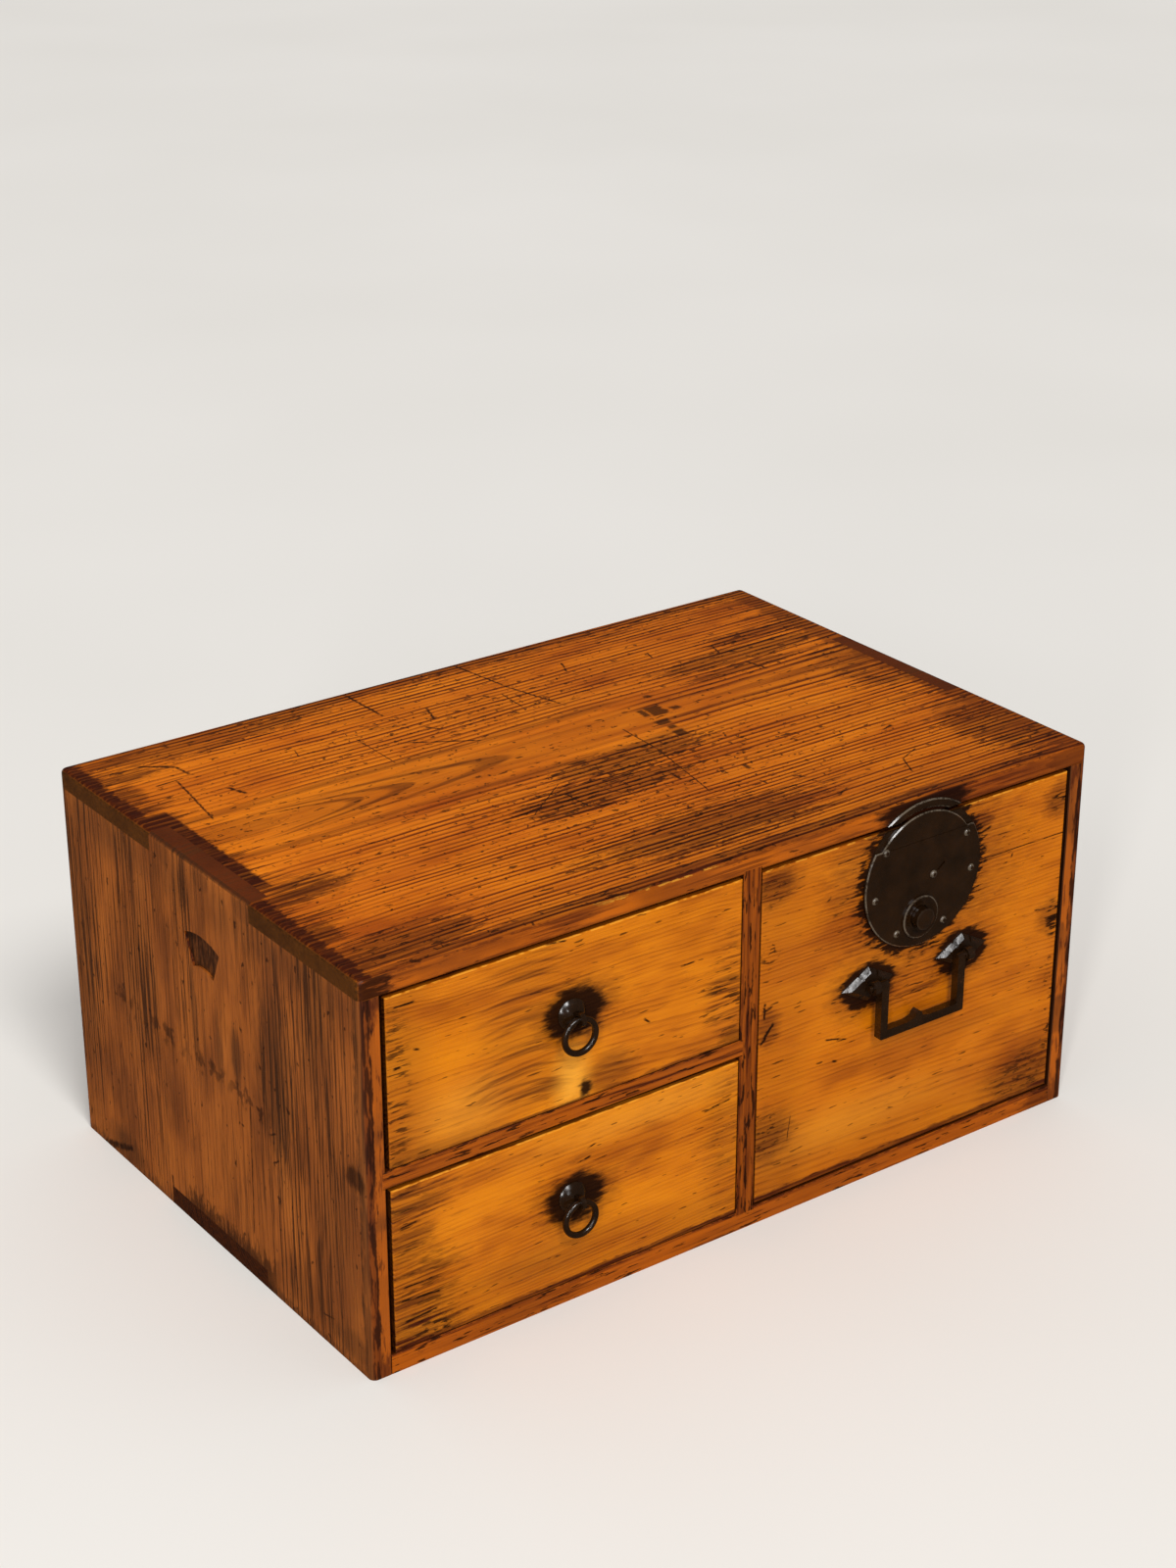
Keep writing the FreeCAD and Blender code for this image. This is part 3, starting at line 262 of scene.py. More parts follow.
class Wood(Graph):
    """A softwood board cut from a log. along is the grain's axis, across lies in the face,
    depth is the third one, and u and v are the two axes that place the marks on the face.

    Its noises all follow the grain: blot is broad clouds, streak is long streaks, dash is short
    dashes, grit is small flecks and fibre is fine lines. rough makes the edges of marks ragged."""

    def __init__(self, name, along, across, depth, u, v):
        super().__init__(name)
        axes = {"x": self.x, "y": self.y, "z": self.z}
        self.along, self.across, self.depth = axes[along], axes[across], axes[depth]
        self.u, self.v = axes[u], axes[v]
        self.face = self.point(self.u, self.v, 0)
        self.fibre = self.grained(0.02, 2.6, 3.0)
        self.blot = self.grained(0.012, 0.035, 3.0)
        self.streak = self.grained(0.022, 0.55, 3.0)
        self.dash = self.grained(0.06, 0.42, 3.0)
        self.grit = self.grained(0.16, 0.5, 4.0)
        self.rough = self.dash + self.grit - 1.0

    def grained(self, along, across, detail):
        """Noise that is stretched along the grain; the scales are cycles per millimetre."""
        return self.noise(self.along * along, self.across * across, self.depth * across, detail, 0.6)

    def wander(self, reach):
        """Sideways drift of the growth rings along the grain, in millimetres."""
        slow = self.grained(0.006, 0.016, 1.0) - 0.5
        fast = self.grained(0.03, 0.10, 2.0) - 0.5
        return slow * reach * 2 + fast * reach * 0.45

    def rings(self, side, below, spacing):
        """Late-wood darkness from 0 to 1 at a distance to the side of and below the pith.
        The rings lie closer together away from the pith."""
        tighten = 0.0012
        radius = (side * side + below * below).root()
        turns = (radius + radius * radius * tighten) / spacing
        place = turns.fraction()
        tone = self.speckle(turns.whole(), 3.0, 7.0)
        late = place.rise(0.28, 0.78) * place.rise(1.0, 0.90)
        return late * (tone * 0.8 + 0.28) * self.streak.rise(0.28, 0.58, 0.55, 1.15)

    def spot(self, centre, radii, soft, ragged):
        """1 inside an ellipse of the face, falling to 0 outside, with a ragged edge."""
        scale = (1 / radii[0], 1 / radii[1], 0)
        shift = (-centre[0] / radii[0], -centre[1] / radii[1], 0)
        scaled = self.vector("MULTIPLY_ADD", self.face, scale, shift)
        reach = self.rough.maths("MULTIPLY_ADD", ragged, self.vector("LENGTH", scaled, output=1))
        return reach.rise(1 + soft, 1 - soft)

    def spots(self, entries):
        """Several spots in one mask; each entry is centre, radii, softness, raggedness, strength."""
        return union(
            self.spot(centre, radii, soft, ragged) * strength
            for centre, radii, soft, ragged, strength in entries
        )

    def flecks(self, noise, entries):
        """Several spots in one mask, all broken up by one noise; each entry is centre, radii,
        softness, raggedness, the noise's values where a fleck starts and is full, strength."""
        return union(
            self.spot(centre, radii, soft, ragged) * noise.rise(start, full) * strength
            for centre, radii, soft, ragged, start, full, strength in entries
        )

    def band(self, field, start, end, soft, ragged):
        """1 from start to end of a field, with a ragged edge of a few millimetres."""
        middle, half = (start + end) / 2, (end - start) / 2
        off = (self.rough.maths("MULTIPLY_ADD", ragged * soft * 4, field) - middle).absolute()
        return off.rise(half + soft, half - soft)

    def patch(self, low, high, soft, ragged):
        """A small block of dirt between two corners of the face."""
        wide = self.band(self.u, low[0], high[0], soft, ragged)
        return wide * self.band(self.v, low[1], high[1], soft, ragged)

    def scratch(self, start, end, width):
        """A thin dark scratch between two places on the face; width is half of its width."""
        du, dv = end[0] - start[0], end[1] - start[1]
        length = math.hypot(du, dv)
        du, dv = du / length, dv / length
        middle = ((start[0] + end[0]) / 2, (start[1] + end[1]) / 2, 0)
        place = self.vector("SUBTRACT", self.face, middle)
        along = self.vector("DOT_PRODUCT", place, (du, dv, 0), output=1).absolute()
        across = self.vector("DOT_PRODUCT", place, (dv, -du, 0), output=1)
        across = self.rough.maths("MULTIPLY_ADD", width * 1.6, across).absolute()
        return across.rise(width, width * 0.3) * along.rise(length / 2 + 1, length / 2 - 1)

    def scratches(self, strokes):
        """Several scratches in one mask, a little broken; each stroke is start, end, width."""
        return union(self.scratch(*stroke) for stroke in strokes) * self.grit.rise(0.36, 0.50, 0.35, 1.0)

    def comb(self, distance, noise, reach, dense, thin):
        """Dark dashes that run in from an edge, dense there and rare at the given reach."""
        limit = (distance / reach) * (thin - dense) + dense
        return (noise - limit).rise(0.0, 0.035)

    def arris(self, sharpness=0.985):
        """1 on the rounded edges between faces."""
        flat = union(direction.absolute() for direction in self.normal)
        return flat.rise(sharpness, sharpness - 0.04)

    def lacquer(self, grain, light, deep, smoke, soot, contrast, grain_colour=GRAIN_DARK,
                smoke_colour=STAIN, roughness=0.30, pale=None, ends=None):
        """Lacquered wood: two tones, grain lines, brown smoke in the lacquer and black soot; smoke
        and soot also carry painted shade where the callers put it in. pale marks wood whose lacquer
        is worn through, and on the drawer fronts also a painted highlight, and ends marks the sawn
        ends of the grain."""
        tone = (self.blot * 1.9 + self.fibre * 0.9 - 0.92).clamped()
        colour = self.blend(light, deep, tone)
        colour = self.blend(colour, grain_colour, (grain * contrast + (self.fibre - 0.5) * 0.6).clamped())
        if pale is not None:
            colour = self.blend(colour, PALE, pale)
        smoke = (smoke * (0.72 + grain * 0.28 + (self.streak - 0.5) * 0.9)).clamped()
        colour = self.blend(colour, smoke_colour, smoke)
        colour = self.blend(colour, SOOT, soot.clamped() * 0.96)
        if ends is not None:
            pores = (self.grit * 0.8 + self.blot * 0.6).rise(0.55, 0.9)
            colour = self.blend(colour, self.blend(END_GRAIN, END_GRAIN_DEEP, pores), ends * 0.95)
        gloss = self.even_noise(0.03) * 0.2
        height = grain * -0.14 + self.fibre * 0.07 + self.grit * 0.05
        return self.finish(colour, gloss + (roughness - 0.1) + smoke * 0.06, height, specular=0.16)


# ---------------------------------------------------------------- top board

# Places on the top are x and y.
TOP_PITH = 21  # the log's pith lies under this y
TOP_VEES = (  # the cathedral figure's dark V's over the pith: start, full, fading, end
    (-134, -124, -119, -116), (-110, -97, -89, -85), (-62, -44, -33, -22),
)
TOP_DIRT = (
    ((20, -18), (45, 13), 0.4, 1.3, 1.0), ((-15, -42), (52, 13), 0.5, 1.5, 0.9),
    ((-40, -54), (26, 6), 0.4, 1.2, 1.0), ((158, 62), (58, 9), 0.4, 1.2, 1.0),
    ((185, 82), (38, 7), 0.5, 1.4, 0.9), ((145, 45), (42, 5), 0.5, 1.2, 0.8),
    ((8, -108), (75, 20), 0.6, 1.7, 0.75), ((-188, -125), (40, 16), 0.5, 1.5, 0.9),
    ((-150, 132), (75, 14), 0.5, 1.7, 0.7), ((200, 10), (24, 40), 0.7, 1.0, 0.6),
    ((205, -95), (26, 40), 0.7, 1.2, 0.8), ((120, 125), (90, 16), 0.7, 0.8, 0.3),
    ((-192, 25), (30, 14), 0.5, 0.8, 0.7), ((0, -141), (240, 5), 0.5, 0.8, 1.0),
)
TOP_TONGUES = (
    ((-205, -50), (34, 13), 0.4, 1.7, 1.0), ((-204, -130), (40, 13), 0.4, 1.7, 1.0),
    ((-212, 92), (8, 12), 0.3, 1.2, 1.0), ((-200, 114), (16, 8), 0.3, 1.6, 0.9),
    ((-214, -95), (10, 14), 0.3, 1.8, 1.0), ((-205, 140), (30, 10), 0.3, 1.6, 0.9),
    ((-214, 57), (10, 10), 0.3, 1.2, 1.0),
)
TOP_BUSY = (((5, -45), (95, 40), 0.7, 1.4, 1.0), ((-30, 78), (80, 22), 0.7, 1.4, 1.0))
TOP_BLOTS = (
    ((64, 18), (74, 30)), ((59, 20), (63, 29)), ((58, 6), (67, 12)), ((60, -1), (65, 3)),
    ((75, 40), (79, 44)), ((77, 19), (83, 24)), ((58, -12), (65, -4)), ((60, -66), (63, -60)),
)
TOP_SCRATCHES = (
    ((-55, 142), (-54, 104), 1.2), ((17, 142), (24, 96), 1.0), ((24, 96), (33, 62), 1.0),
    ((-184, 95), (-192, 42), 0.9), ((-168, 72), (-163, 60), 1.6), ((39, 14), (38, -18), 0.6),
    ((38, -18), (27, -76), 0.6), ((-66, 68), (-30, 46), 1.1), ((-29, 100), (-34, 84), 1.1),
    ((-44, 78), (-38, 70), 1.1), ((-82, 86), (-82, 48), 0.5), ((15, 92), (14, 70), 0.7),
    ((-30, -24), (-62, -48), 0.5), ((-34, -36), (-33, -56), 0.9), ((126, -118), (133, -103), 0.7),
    ((133, -103), (147, -97), 0.7), ((63, 98), (68, 110), 0.9), ((149, 70), (152, 80), 1.0),
    ((153, 50), (156, 36), 1.2), ((150, -68), (158, -66), 1.2), ((25, -45), (24, -56), 1.2),
    ((76, -118), (86, -114), 1.3), ((-192, 121), (-176, 110), 1.7), ((-176, 110), (-175, 98), 1.4),
    ((-180, 95), (-196, 94), 0.8), ((114, 86), (116, 94), 0.8), ((-118, 84), (-116, 92), 0.6),
)


def top_figure(wood, side):
    """Dark V's of the cathedral figure, which point to the left. side is the distance to the pith."""
    pointed = wood.x + side * side / 2.8
    figure = union(
        pointed.rise(start, full) * pointed.rise(end, fading) for start, full, fading, end in TOP_VEES
    )
    figure = figure | pointed.rise(-190, -150) * 0.36
    return figure * side.absolute().rise(25, 10) * wood.x.rise(-200, -150)


def top_left_end(wood):
    """Two masks: the dark rim at the top's left end, wider round the side board's finger, and
    that rim with the tongues of dirt that run in from it."""
    wide_middle, wide_half = 12, 52
    wide = wood.band(wood.x, LEFT - PAST, LEFT + 18.5, 1.2, 0.7)
    wide = wide * (wood.y - wide_middle).absolute().rise(wide_half + 2, wide_half - 2)
    rim = wood.band(wood.x, LEFT - PAST, LEFT + 8.5, 1.5, 1.8) | wide
    tongues = wood.spots(TOP_TONGUES) * (wood.streak.rise(0.36, 0.50) * 0.55 + 0.45)
    return rim, tongues | rim | wood.comb(wood.x - (LEFT + 4), wood.streak, 34, 0.42, 0.66) * 0.9


def top_smoke(wood, side, grain, calm, dirt):
    """Brown smoke on the top: grime, streaks, the figure, and painted shade to the right and front."""
    x, y = wood.x, wood.y
    flank = (side.absolute() - 25).absolute().rise(5, 1.5) * x.rise(85, 40) * wood.streak.rise(0.30, 0.46)
    grime = (dirt * 1.1 + (wood.streak - 0.5) * 1.5 + (wood.dash - 0.5) * 0.8).rise(0.28, 0.62)
    smoke = grime * (0.6 + grain * 0.4) | wood.streak.rise(0.58, 0.72) * x.rise(-190, -90, 0.2, 0.55)
    smoke = smoke | wood.blot.rise(0.52, 0.72) * 0.3 | flank * 0.6
    # Painted shade: a broad gradient that darkens the top towards the right and towards the front.
    shade = x.rise(-150, 20) * 0.13 + y.rise(-85, -140) * 0.24
    smoke = (smoke + shade) * (1 - calm * 0.35) | top_figure(wood, side) * 0.9
    smoke = smoke | wood.band(x, RIGHT - 16, RIGHT + PAST, 2.0, 1.3) * 0.9
    return smoke | wood.comb(RIGHT - x, wood.streak, 60, 0.44, 0.64) * 0.8


def top_soot(wood, grain, dirt, tongues):
    """Black marks on the top: gouges, scars, scratches, square blots and the dirtiest grain."""
    x, y = wood.x, wood.y
    gouges = wood.noise(x * 0.10, y * 0.34, 4.0, 3.0, 0.6)
    scars = wood.noise(x * 0.26, y * 0.22, 8.0, 3.0, 0.6)
    busy = wood.spots(TOP_BUSY)
    soot = (gouges + dirt * 0.05 + busy * 0.03).rise(0.63, 0.66)
    soot = soot | (scars + busy * 0.05).rise(0.645, 0.675)
    soot = soot | (dirt * 0.2 + gouges * 0.7 + grain * 0.12).rise(0.64, 0.74) * 0.32
    soot = soot * 0.8 | wood.scratches(TOP_SCRATCHES) * 0.95
    soot = soot | union(wood.patch(low, high, 1.0, 0.8) for low, high in TOP_BLOTS) * 0.85
    return soot | tongues * wood.dash.rise(0.40, 0.62) * 0.3


def top_front_edge(wood):
    """Smoke and soot on the board's front edge, darkest at its ends and round the strike plate."""
    x, z = wood.x, wood.z
    strike_z = 208
    strike = (x - LOCK_X).absolute() / 31 + (z - strike_z).absolute() / 40
    strike = (strike + wood.rough * 0.6).rise(1.2, 0.8)
    smoke = wood.band(x, LEFT - 7, LEFT + 19, 3, 1.3) | wood.streak.rise(0.46, 0.62) * 0.75
    smoke = smoke | wood.band(z, TOP - 13, TOP - 9, 0.8, 0.8) * 0.7
    smoke = smoke | wood.band(x, RIGHT - 29, RIGHT + 7, 4, 1.4) * 0.9 | strike
    smoke = smoke | wood.blot.rise(0.38, 0.6) * 0.5
    corner = wood.band(x, LEFT - 3, LEFT + 17, 1.5, 1.4) * wood.dash.rise(0.38, 0.5) * 0.8
    return smoke, strike * 0.95 | corner | wood.dash.rise(0.64, 0.70) * 0.8


def top_wood():
    """Top board: straight grain either side of a cathedral figure, dark ends and worn patches."""
    wood = Wood("top_wood", "x", "y", "z", "x", "y")
    x, y = wood.x, wood.y
    top = wood.normal[2].rise(0.3, 0.8)
    # Painted shade: the board's lower face, inside the case, is painted fully dark brown.
    underside_shade = wood.normal[2].rise(-0.5, -0.8)
    front = wood.normal[1].rise(-0.5, -0.8)
    ends = wood.normal[0].absolute().rise(0.6, 0.9)
    side = y - TOP_PITH + wood.wander(3.5)
    calm = side.absolute().rise(27, 20) * x.rise(80, 45)
    grain = wood.rings(side, wood.z - (TOP - 14) - x * 0.01, 4.5) * x.rise(-205, -90, 0.5, 1.0)
    grain = grain * (1 - calm * 0.75)
    dirt = wood.spots(TOP_DIRT) | wood.band(y, BACK - 12, BACK + PAST, 3.0, 1.6) * 0.8
    rim, tongues = top_left_end(wood)
    smoke = top_smoke(wood, side, grain, calm, dirt) | tongues * 0.95 | rim * 1.3
    soot = top_soot(wood, grain, dirt, tongues)
    edge_smoke, edge_soot = top_front_edge(wood)
    chipped = wood.arris() * wood.band(x, -92, -22, 4, 1.5) * wood.grit.rise(0.48, 0.54) * 0.7
    worn = wood.arris() * wood.grit.rise(0.42, 0.56) * (1 - chipped)
    smoke = smoke * top | edge_smoke * front | worn * 0.9 | underside_shade
    soot = soot * top | edge_soot * front
    light = wood.blend(ORANGE, AMBER_DEEP, front * 0.9)
    deep = wood.blend(ORANGE_DEEP, RUST, front * 0.9)
    return wood.lacquer(grain * (1 - ends), light, deep, smoke, soot, contrast=1.2,
                        grain_colour=GRAIN_TOP, pale=chipped, ends=ends)


# ---------------------------------------------------------------- side boards

# Places on the sides are y and z, with y as it is on the left side; the right side is mirrored.
SIDE_SMOKE = (
    ((136, 120), (17, 100), 0.6, 0.9, 0.55), ((98, 8), (20, 12), 0.5, 1.0, 0.8),
    ((-90, 195), (60, 12), 0.8, 0.8, 0.6), ((100, 195), (50, 14), 0.8, 0.8, 0.55),
    ((-66, 130), (15, 52), 0.6, 1.3, 0.75), ((-105, 165), (14, 36), 0.6, 1.0, 0.5),
    ((-122, 60), (16, 60), 0.7, 1.0, 0.45), ((-100, 18), (40, 14), 0.7, 1.0, 0.4),
    ((12, 128), (3.5, 26), 0.5, 0.8, 0.6), ((-11, 118), (4, 22), 0.5, 0.8, 0.55),
    ((-29, 122), (5, 15), 0.5, 0.8, 0.75), ((70, 130), (18, 50), 0.7, 1.0, 0.4),
    ((-2, 206), (9, 7), 0.4, 0.5, 0.6), ((34, 206), (7, 7), 0.4, 0.5, 0.5),
    ((-42, 206), (9, 7), 0.4, 0.5, 0.6), ((-128, 12), (18, 10), 0.5, 1.0, 0.7),
    ((10, 195), (50, 12), 0.7, 0.8, 0.4),
)
SIDE_BUSY = (
    ((-88, 110), (34, 120), 0.5, 0.3, 1.0), ((72, 120), (22, 90), 0.5, 0.3, 0.8),
    ((22, 170), (12, 50), 0.5, 0.3, 0.7), ((128, 130), (20, 90), 0.5, 0.3, 0.9),
)
SIDE_SCRATCHES = (
    ((48, -2), (48, 17), 1.3), ((-37, 26), (-40, 100), 0.8), ((92, 11), (128, -2), 2.6),
    ((-102, 15), (-112, 17), 0.6), ((-57, 92), (-64, 96), 0.7), ((-60, 78), (-66, 82), 0.7),
)


def left_side_marks(wood):
    """Soot that only the left side has: nicks at half height, scratches and a round spot."""
    y, z = wood.y, wood.z
    nicks = wood.noise(y * 0.17, z * 0.12, 5.0, 3.0).rise(0.50, 0.58)
    nicks = nicks * wood.band(z, 97, 108, 2, 1.6) * (y - 18).absolute().rise(84, 70)
    soot = nicks * wood.blot.rise(0.3, 0.6, 0.2, 0.6) | wood.scratches(SIDE_SCRATCHES) * 0.85
    return soot | wood.spot((-136, 107), (8, 6), 0.4, 1.0) * 0.75


def fan_recess(wood, out):
    """1 in the fan-shaped recess, which lies just under the outer face of the left side."""
    fan_z = 166
    near = wood.y.absolute().rise(22, 18) * (wood.z - fan_z).absolute().rise(18, 14)
    return out.rise(RIGHT - 0.1, RIGHT - 0.7) * near


def side_wood(name, face):
    """Side board: upright grain, smoky brown outside, dark at the foot. face is -1 left, 1 right;
    the right board has the same kinds of wear the other way round, front to back."""
    wood = Wood(name, "z", "y", "x", "y", "z")
    y, z = wood.y, wood.z
    wood.u = y * -face
    wood.face = wood.point(wood.u, z, 0)
    out = wood.x * face
    outer = (wood.normal[0] * face).rise(0.5, 0.9)
    front = wood.normal[1].rise(-0.6, -0.9)
    # Painted shade: the faces turned into the case near the front are painted dark brown and nearly
    # black, for the shade inside the case.
    inner_shade = (wood.normal[0] * -face).rise(0.5, 0.9) * y.rise(-128, -138)
    cap = z.rise(TOP - 1.5, TOP - 0.6)

    grain = wood.rings(y + 25 + wood.wander(7), out - (RIGHT - 7) + z * 0.05, 3.6)
    fine = wood.noise(wood.u * 0.60, z * 0.013, 6.0, 3.0, 0.55).rise(0.525, 0.575)
    grain = (grain * 0.5 + fine * 0.9) * (wood.spots(SIDE_BUSY) + 0.5)

    smoke = wood.spots(SIDE_SMOKE) | wood.band(y, FRONT - 5, FRONT + 6, 2.5, 1.2) * 0.85
    smoke = smoke | wood.band(z, -10, 4, 3, 1.3) * 0.75
    smoke = smoke | wood.dash.rise(0.54, 0.70) * 0.42 | wood.blot.rise(0.46, 0.68) * 0.45
    foot = (z + wood.rough * 26).rise(21, 13) * y.rise(-66, -50) * y.rise(40, 26)
    soot = foot * 0.75 | wood.noise(y * 0.24, z * 0.16, 9.0, 2.0).rise(0.67, 0.71) * 0.75
    if face < 0:
        soot = soot | left_side_marks(wood)
    soot = soot | wood.comb(BACK + 5 - y, wood.dash, 40, 0.50, 0.80) * 0.5
    # The recess is painted dark brown and flecked black: partly its floor's own dark colour, partly
    # painted shade in the recess.
    recess = fan_recess(wood, out)
    smoke = smoke | recess * 0.95
    soot = soot | recess * wood.grit.rise(0.35, 0.6) * 0.7

    edge = wood.band(out, RIGHT - 5.5, RIGHT + 5, 0.8, 1.6)
    smear = wood.dash.rise(0.54, 0.64) * 0.8 | edge * 0.9
    smear = smear | wood.band(z, -5, 12, 5, 1.4) | wood.band(z, 190, 205, 6, 1.4)
    smoke = smoke * outer | smear * front | wood.arris() * 0.85 | inner_shade
    soot = soot * outer | inner_shade * 0.9 | edge * wood.dash.rise(0.44, 0.54) * 0.8 * front
    light = wood.blend(wood.blend(BROWN, AMBER_DEEP, front), CAP, cap)
    deep = wood.blend(wood.blend(BROWN_DEEP, RUST, front), CAP_DEEP, cap)
    smoke_colour = wood.blend(STAIN_BROWN, STAIN, front)
    return wood.lacquer(grain, light, deep, smoke, soot, contrast=0.9, roughness=0.42,
                        smoke_colour=smoke_colour, grain_colour=GRAIN_SIDE)


# ---------------------------------------------------------------- bottom, divider and rail

def case_wood(name, along, across, depth, dark, dirty=None):
    """Bottom board, divider and rail: reddish brown lacquer with dark worn streaks, and painted
    shade on every face that does not face the front. dark is how far the streaks cover it, and
    dirty is a stretch of the length that is nearly black."""
    wood = Wood(name, along, across, depth, along, across)
    grain = wood.rings(wood.across - 40 + wood.wander(4), wood.depth + 60, 2.8)
    # Painted shade: every face that does not face the front is painted dark brown and flecked black, for
    # the shade inside the case.
    shaded_faces = wood.normal[1].rise(-0.2, -0.8, 1.0, 0.0)
    smoke = wood.streak.rise(0.56 - dark * 0.16, 0.72 - dark * 0.12) * 0.9
    smoke = smoke | wood.arris() * wood.grit.rise(0.40, 0.55) * 0.9 | shaded_faces * 0.9 | dark * 0.45
    soot = wood.dash.rise(0.60 - dark * 0.04, 0.64 - dark * 0.04) | shaded_faces * 0.75
    if dirty:
        smoke = smoke | wood.band(wood.along, *dirty, 6, 1.0) * 0.9
    return wood.lacquer(grain, AMBER_DEEP, RUST, smoke, soot * 0.9, contrast=0.6)


# ---------------------------------------------------------------- drawer fronts

# Places on the fronts are x and z.
UPPER_SMOKE = (((-86, 120), (16, 11), 0.6, 0.8, 0.7), ((-178, 112), (34, 6), 0.6, 1.0, 0.5))
UPPER_SOOT = (((-101, 117), (3.4, 4.4), 0.5, 1.6, 1.0), ((-11, 115), (7, 6), 0.4, 1.6, 0.5))
UPPER_DASHES = (
    ((-207, 150), (8, 50), 0.4, 1.2, 0.50, 0.58, 0.8),
    ((-16, 142), (13, 28), 0.4, 1.0, 0.54, 0.60, 0.85),
)
UPPER_SCRATCHES = (
    ((-44, 164.5), (-36, 164.5), 0.7), ((-125, 201), (-112, 199), 0.8),
    ((-207, 194), (-196, 194), 0.9), ((-197, 170), (-194, 169), 0.9), ((-208, 163), (-204, 163), 0.9),
    ((-32, 112), (-12, 111), 0.9), ((-97, 183), (-94, 182.5), 0.6), ((-66, 143), (-63, 140), 0.9),
)
UPPER_PALE = (((-109, 124), (9, 16), 0.8, 0.5, 0.75), ((-172, 128), (22, 14), 0.9, 0.5, 0.3))

LOWER_SMOKE = (
    ((-196, 42), (24, 20), 0.5, 1.4, 0.7), ((-196, 18), (24, 12), 0.5, 1.4, 0.9),
    ((-200, 90), (24, 9), 0.5, 1.4, 0.8), ((-204, 70), (14, 14), 0.5, 1.4, 0.7),
    ((-96, 79), (16, 4), 0.5, 1.4, 0.6), ((-14, 60), (14, 40), 0.6, 1.4, 0.5),
)
LOWER_DASHES = (
    ((-196, 40), (20, 24), 0.5, 1.2, 0.52, 0.60, 0.6),
    ((-202, 78), (12, 22), 0.5, 1.2, 0.55, 0.62, 0.8),
    ((-14, 68), (10, 30), 0.5, 1.2, 0.58, 0.64, 0.8),
)
LOWER_GRIT = (((-190, 16), (14, 8), 0.5, 1.2, 0.50, 0.58, 0.9),)
LOWER_SCRATCHES = (
    ((-208, 38), (-186, 36), 0.9), ((-206, 45), (-190, 45), 0.7), ((-206, 26), (-188, 27), 0.8),
    ((-207, 78), (-198, 79), 0.7), ((-28, 78), (-12, 80), 0.8), ((-106, 77), (-98, 78), 0.7),
    ((-100, 83), (-95, 84), 0.6), ((-185, 15), (-181, 14), 1.6),
)

BIG_SMOKE = (
    ((194, 28), (27, 18), 0.6, 0.8, 0.6), ((120, 72), (55, 7), 0.7, 0.8, 0.3),
    ((14, 190), (14, 9), 0.6, 1.2, 0.7), ((14, 50), (14, 14), 0.6, 1.2, 0.6),
    ((11, 112), (8, 10), 0.5, 1.2, 0.6), ((206, 186), (10, 10), 0.5, 1.4, 0.7),
    ((150, 188), (12, 6), 0.5, 1.2, 1.0), ((104, 148), (60, 52), 0.4, 0.6, 0.28),
    ((205, 118), (8, 10), 0.5, 1.4, 0.6),
)
BIG_DASHES = (
    ((208, 116), (5, 12), 0.3, 1.0, 0.46, 0.54, 1.0),
    ((207, 188), (7, 9), 0.3, 1.0, 0.52, 0.58, 1.0),
    ((110, 106), (18, 10), 0.5, 1.0, 0.56, 0.62, 0.8),
)
BIG_GRIT = (
    ((190, 26), (22, 14), 0.3, 1.3, 0.51, 0.57, 0.65),
    ((208, 60), (5, 34), 0.4, 1.0, 0.55, 0.62, 1.0),
    ((13, 188), (11, 9), 0.5, 1.2, 0.53, 0.60, 0.9),
    ((12, 50), (10, 14), 0.5, 1.2, 0.54, 0.60, 0.9),
    ((11, 154), (8, 10), 0.5, 1.2, 0.55, 0.62, 0.9),
)
BIG_SCRATCHES = (
    ((150, 165.6), (212, 165.2), 0.45), ((54, 191), (74, 191.5), 0.6), ((48, 172), (50, 174), 0.9),
    ((7, 104), (15, 114), 1.5), ((8, 122), (14, 124), 1.5), ((26, 42), (28, 56), 0.4),
    ((50, 93), (64, 89), 0.7), ((174, 161), (175, 163), 0.8), ((55, 79), (58, 78), 0.9),
    ((106, 40), (110, 42), 0.7), ((80, 170), (82, 171), 0.9), ((9, 127), (9, 118), 1.1),
    ((150, 181), (158, 183), 1.0), ((194, 124), (202, 123), 0.8), ((206, 110), (212, 110), 1.2),
)


def mark_upper_front(wood):
    """Smoke, soot and pale wood of the upper front: curly dark figure, and a small black knot
    in pale wood under the ring."""
    x, z = wood.x, wood.z
    arch = (x + 140) * (x + 140) * 0.005
    bowed = z + arch.smaller(5.0) + wood.wander(2.0)
    curl = wood.noise(x * 0.02, bowed * 0.30, 3.0, 3.0).rise(0.47, 0.62)
    smoke = wood.spot((-133, 168), (26, 38), 0.5, 0.3) * (curl * 0.5 + 0.22)
    smoke = smoke | wood.spot((-137, 133), (28, 16), 0.5, 0.4) * (curl * 0.6 + 0.24)
    smoke = smoke | wood.spots(UPPER_SMOKE)
    smoke = smoke | wood.spot((-14, 140), (12, 32), 0.6, 1.2) * wood.streak.rise(0.42, 0.6) * 0.7
    smoke = smoke | wood.band(z, 109, 113, 0.9, 1.0) * 0.8
    # Darker towards the left end, a broad gradient.
    smoke = smoke + x.rise(-178, -202, 0.0, 0.36)
    soot = wood.spots(UPPER_SOOT) | wood.flecks(wood.dash, UPPER_DASHES)
    return smoke, soot | wood.scratches(UPPER_SCRATCHES), wood.spots(UPPER_PALE)


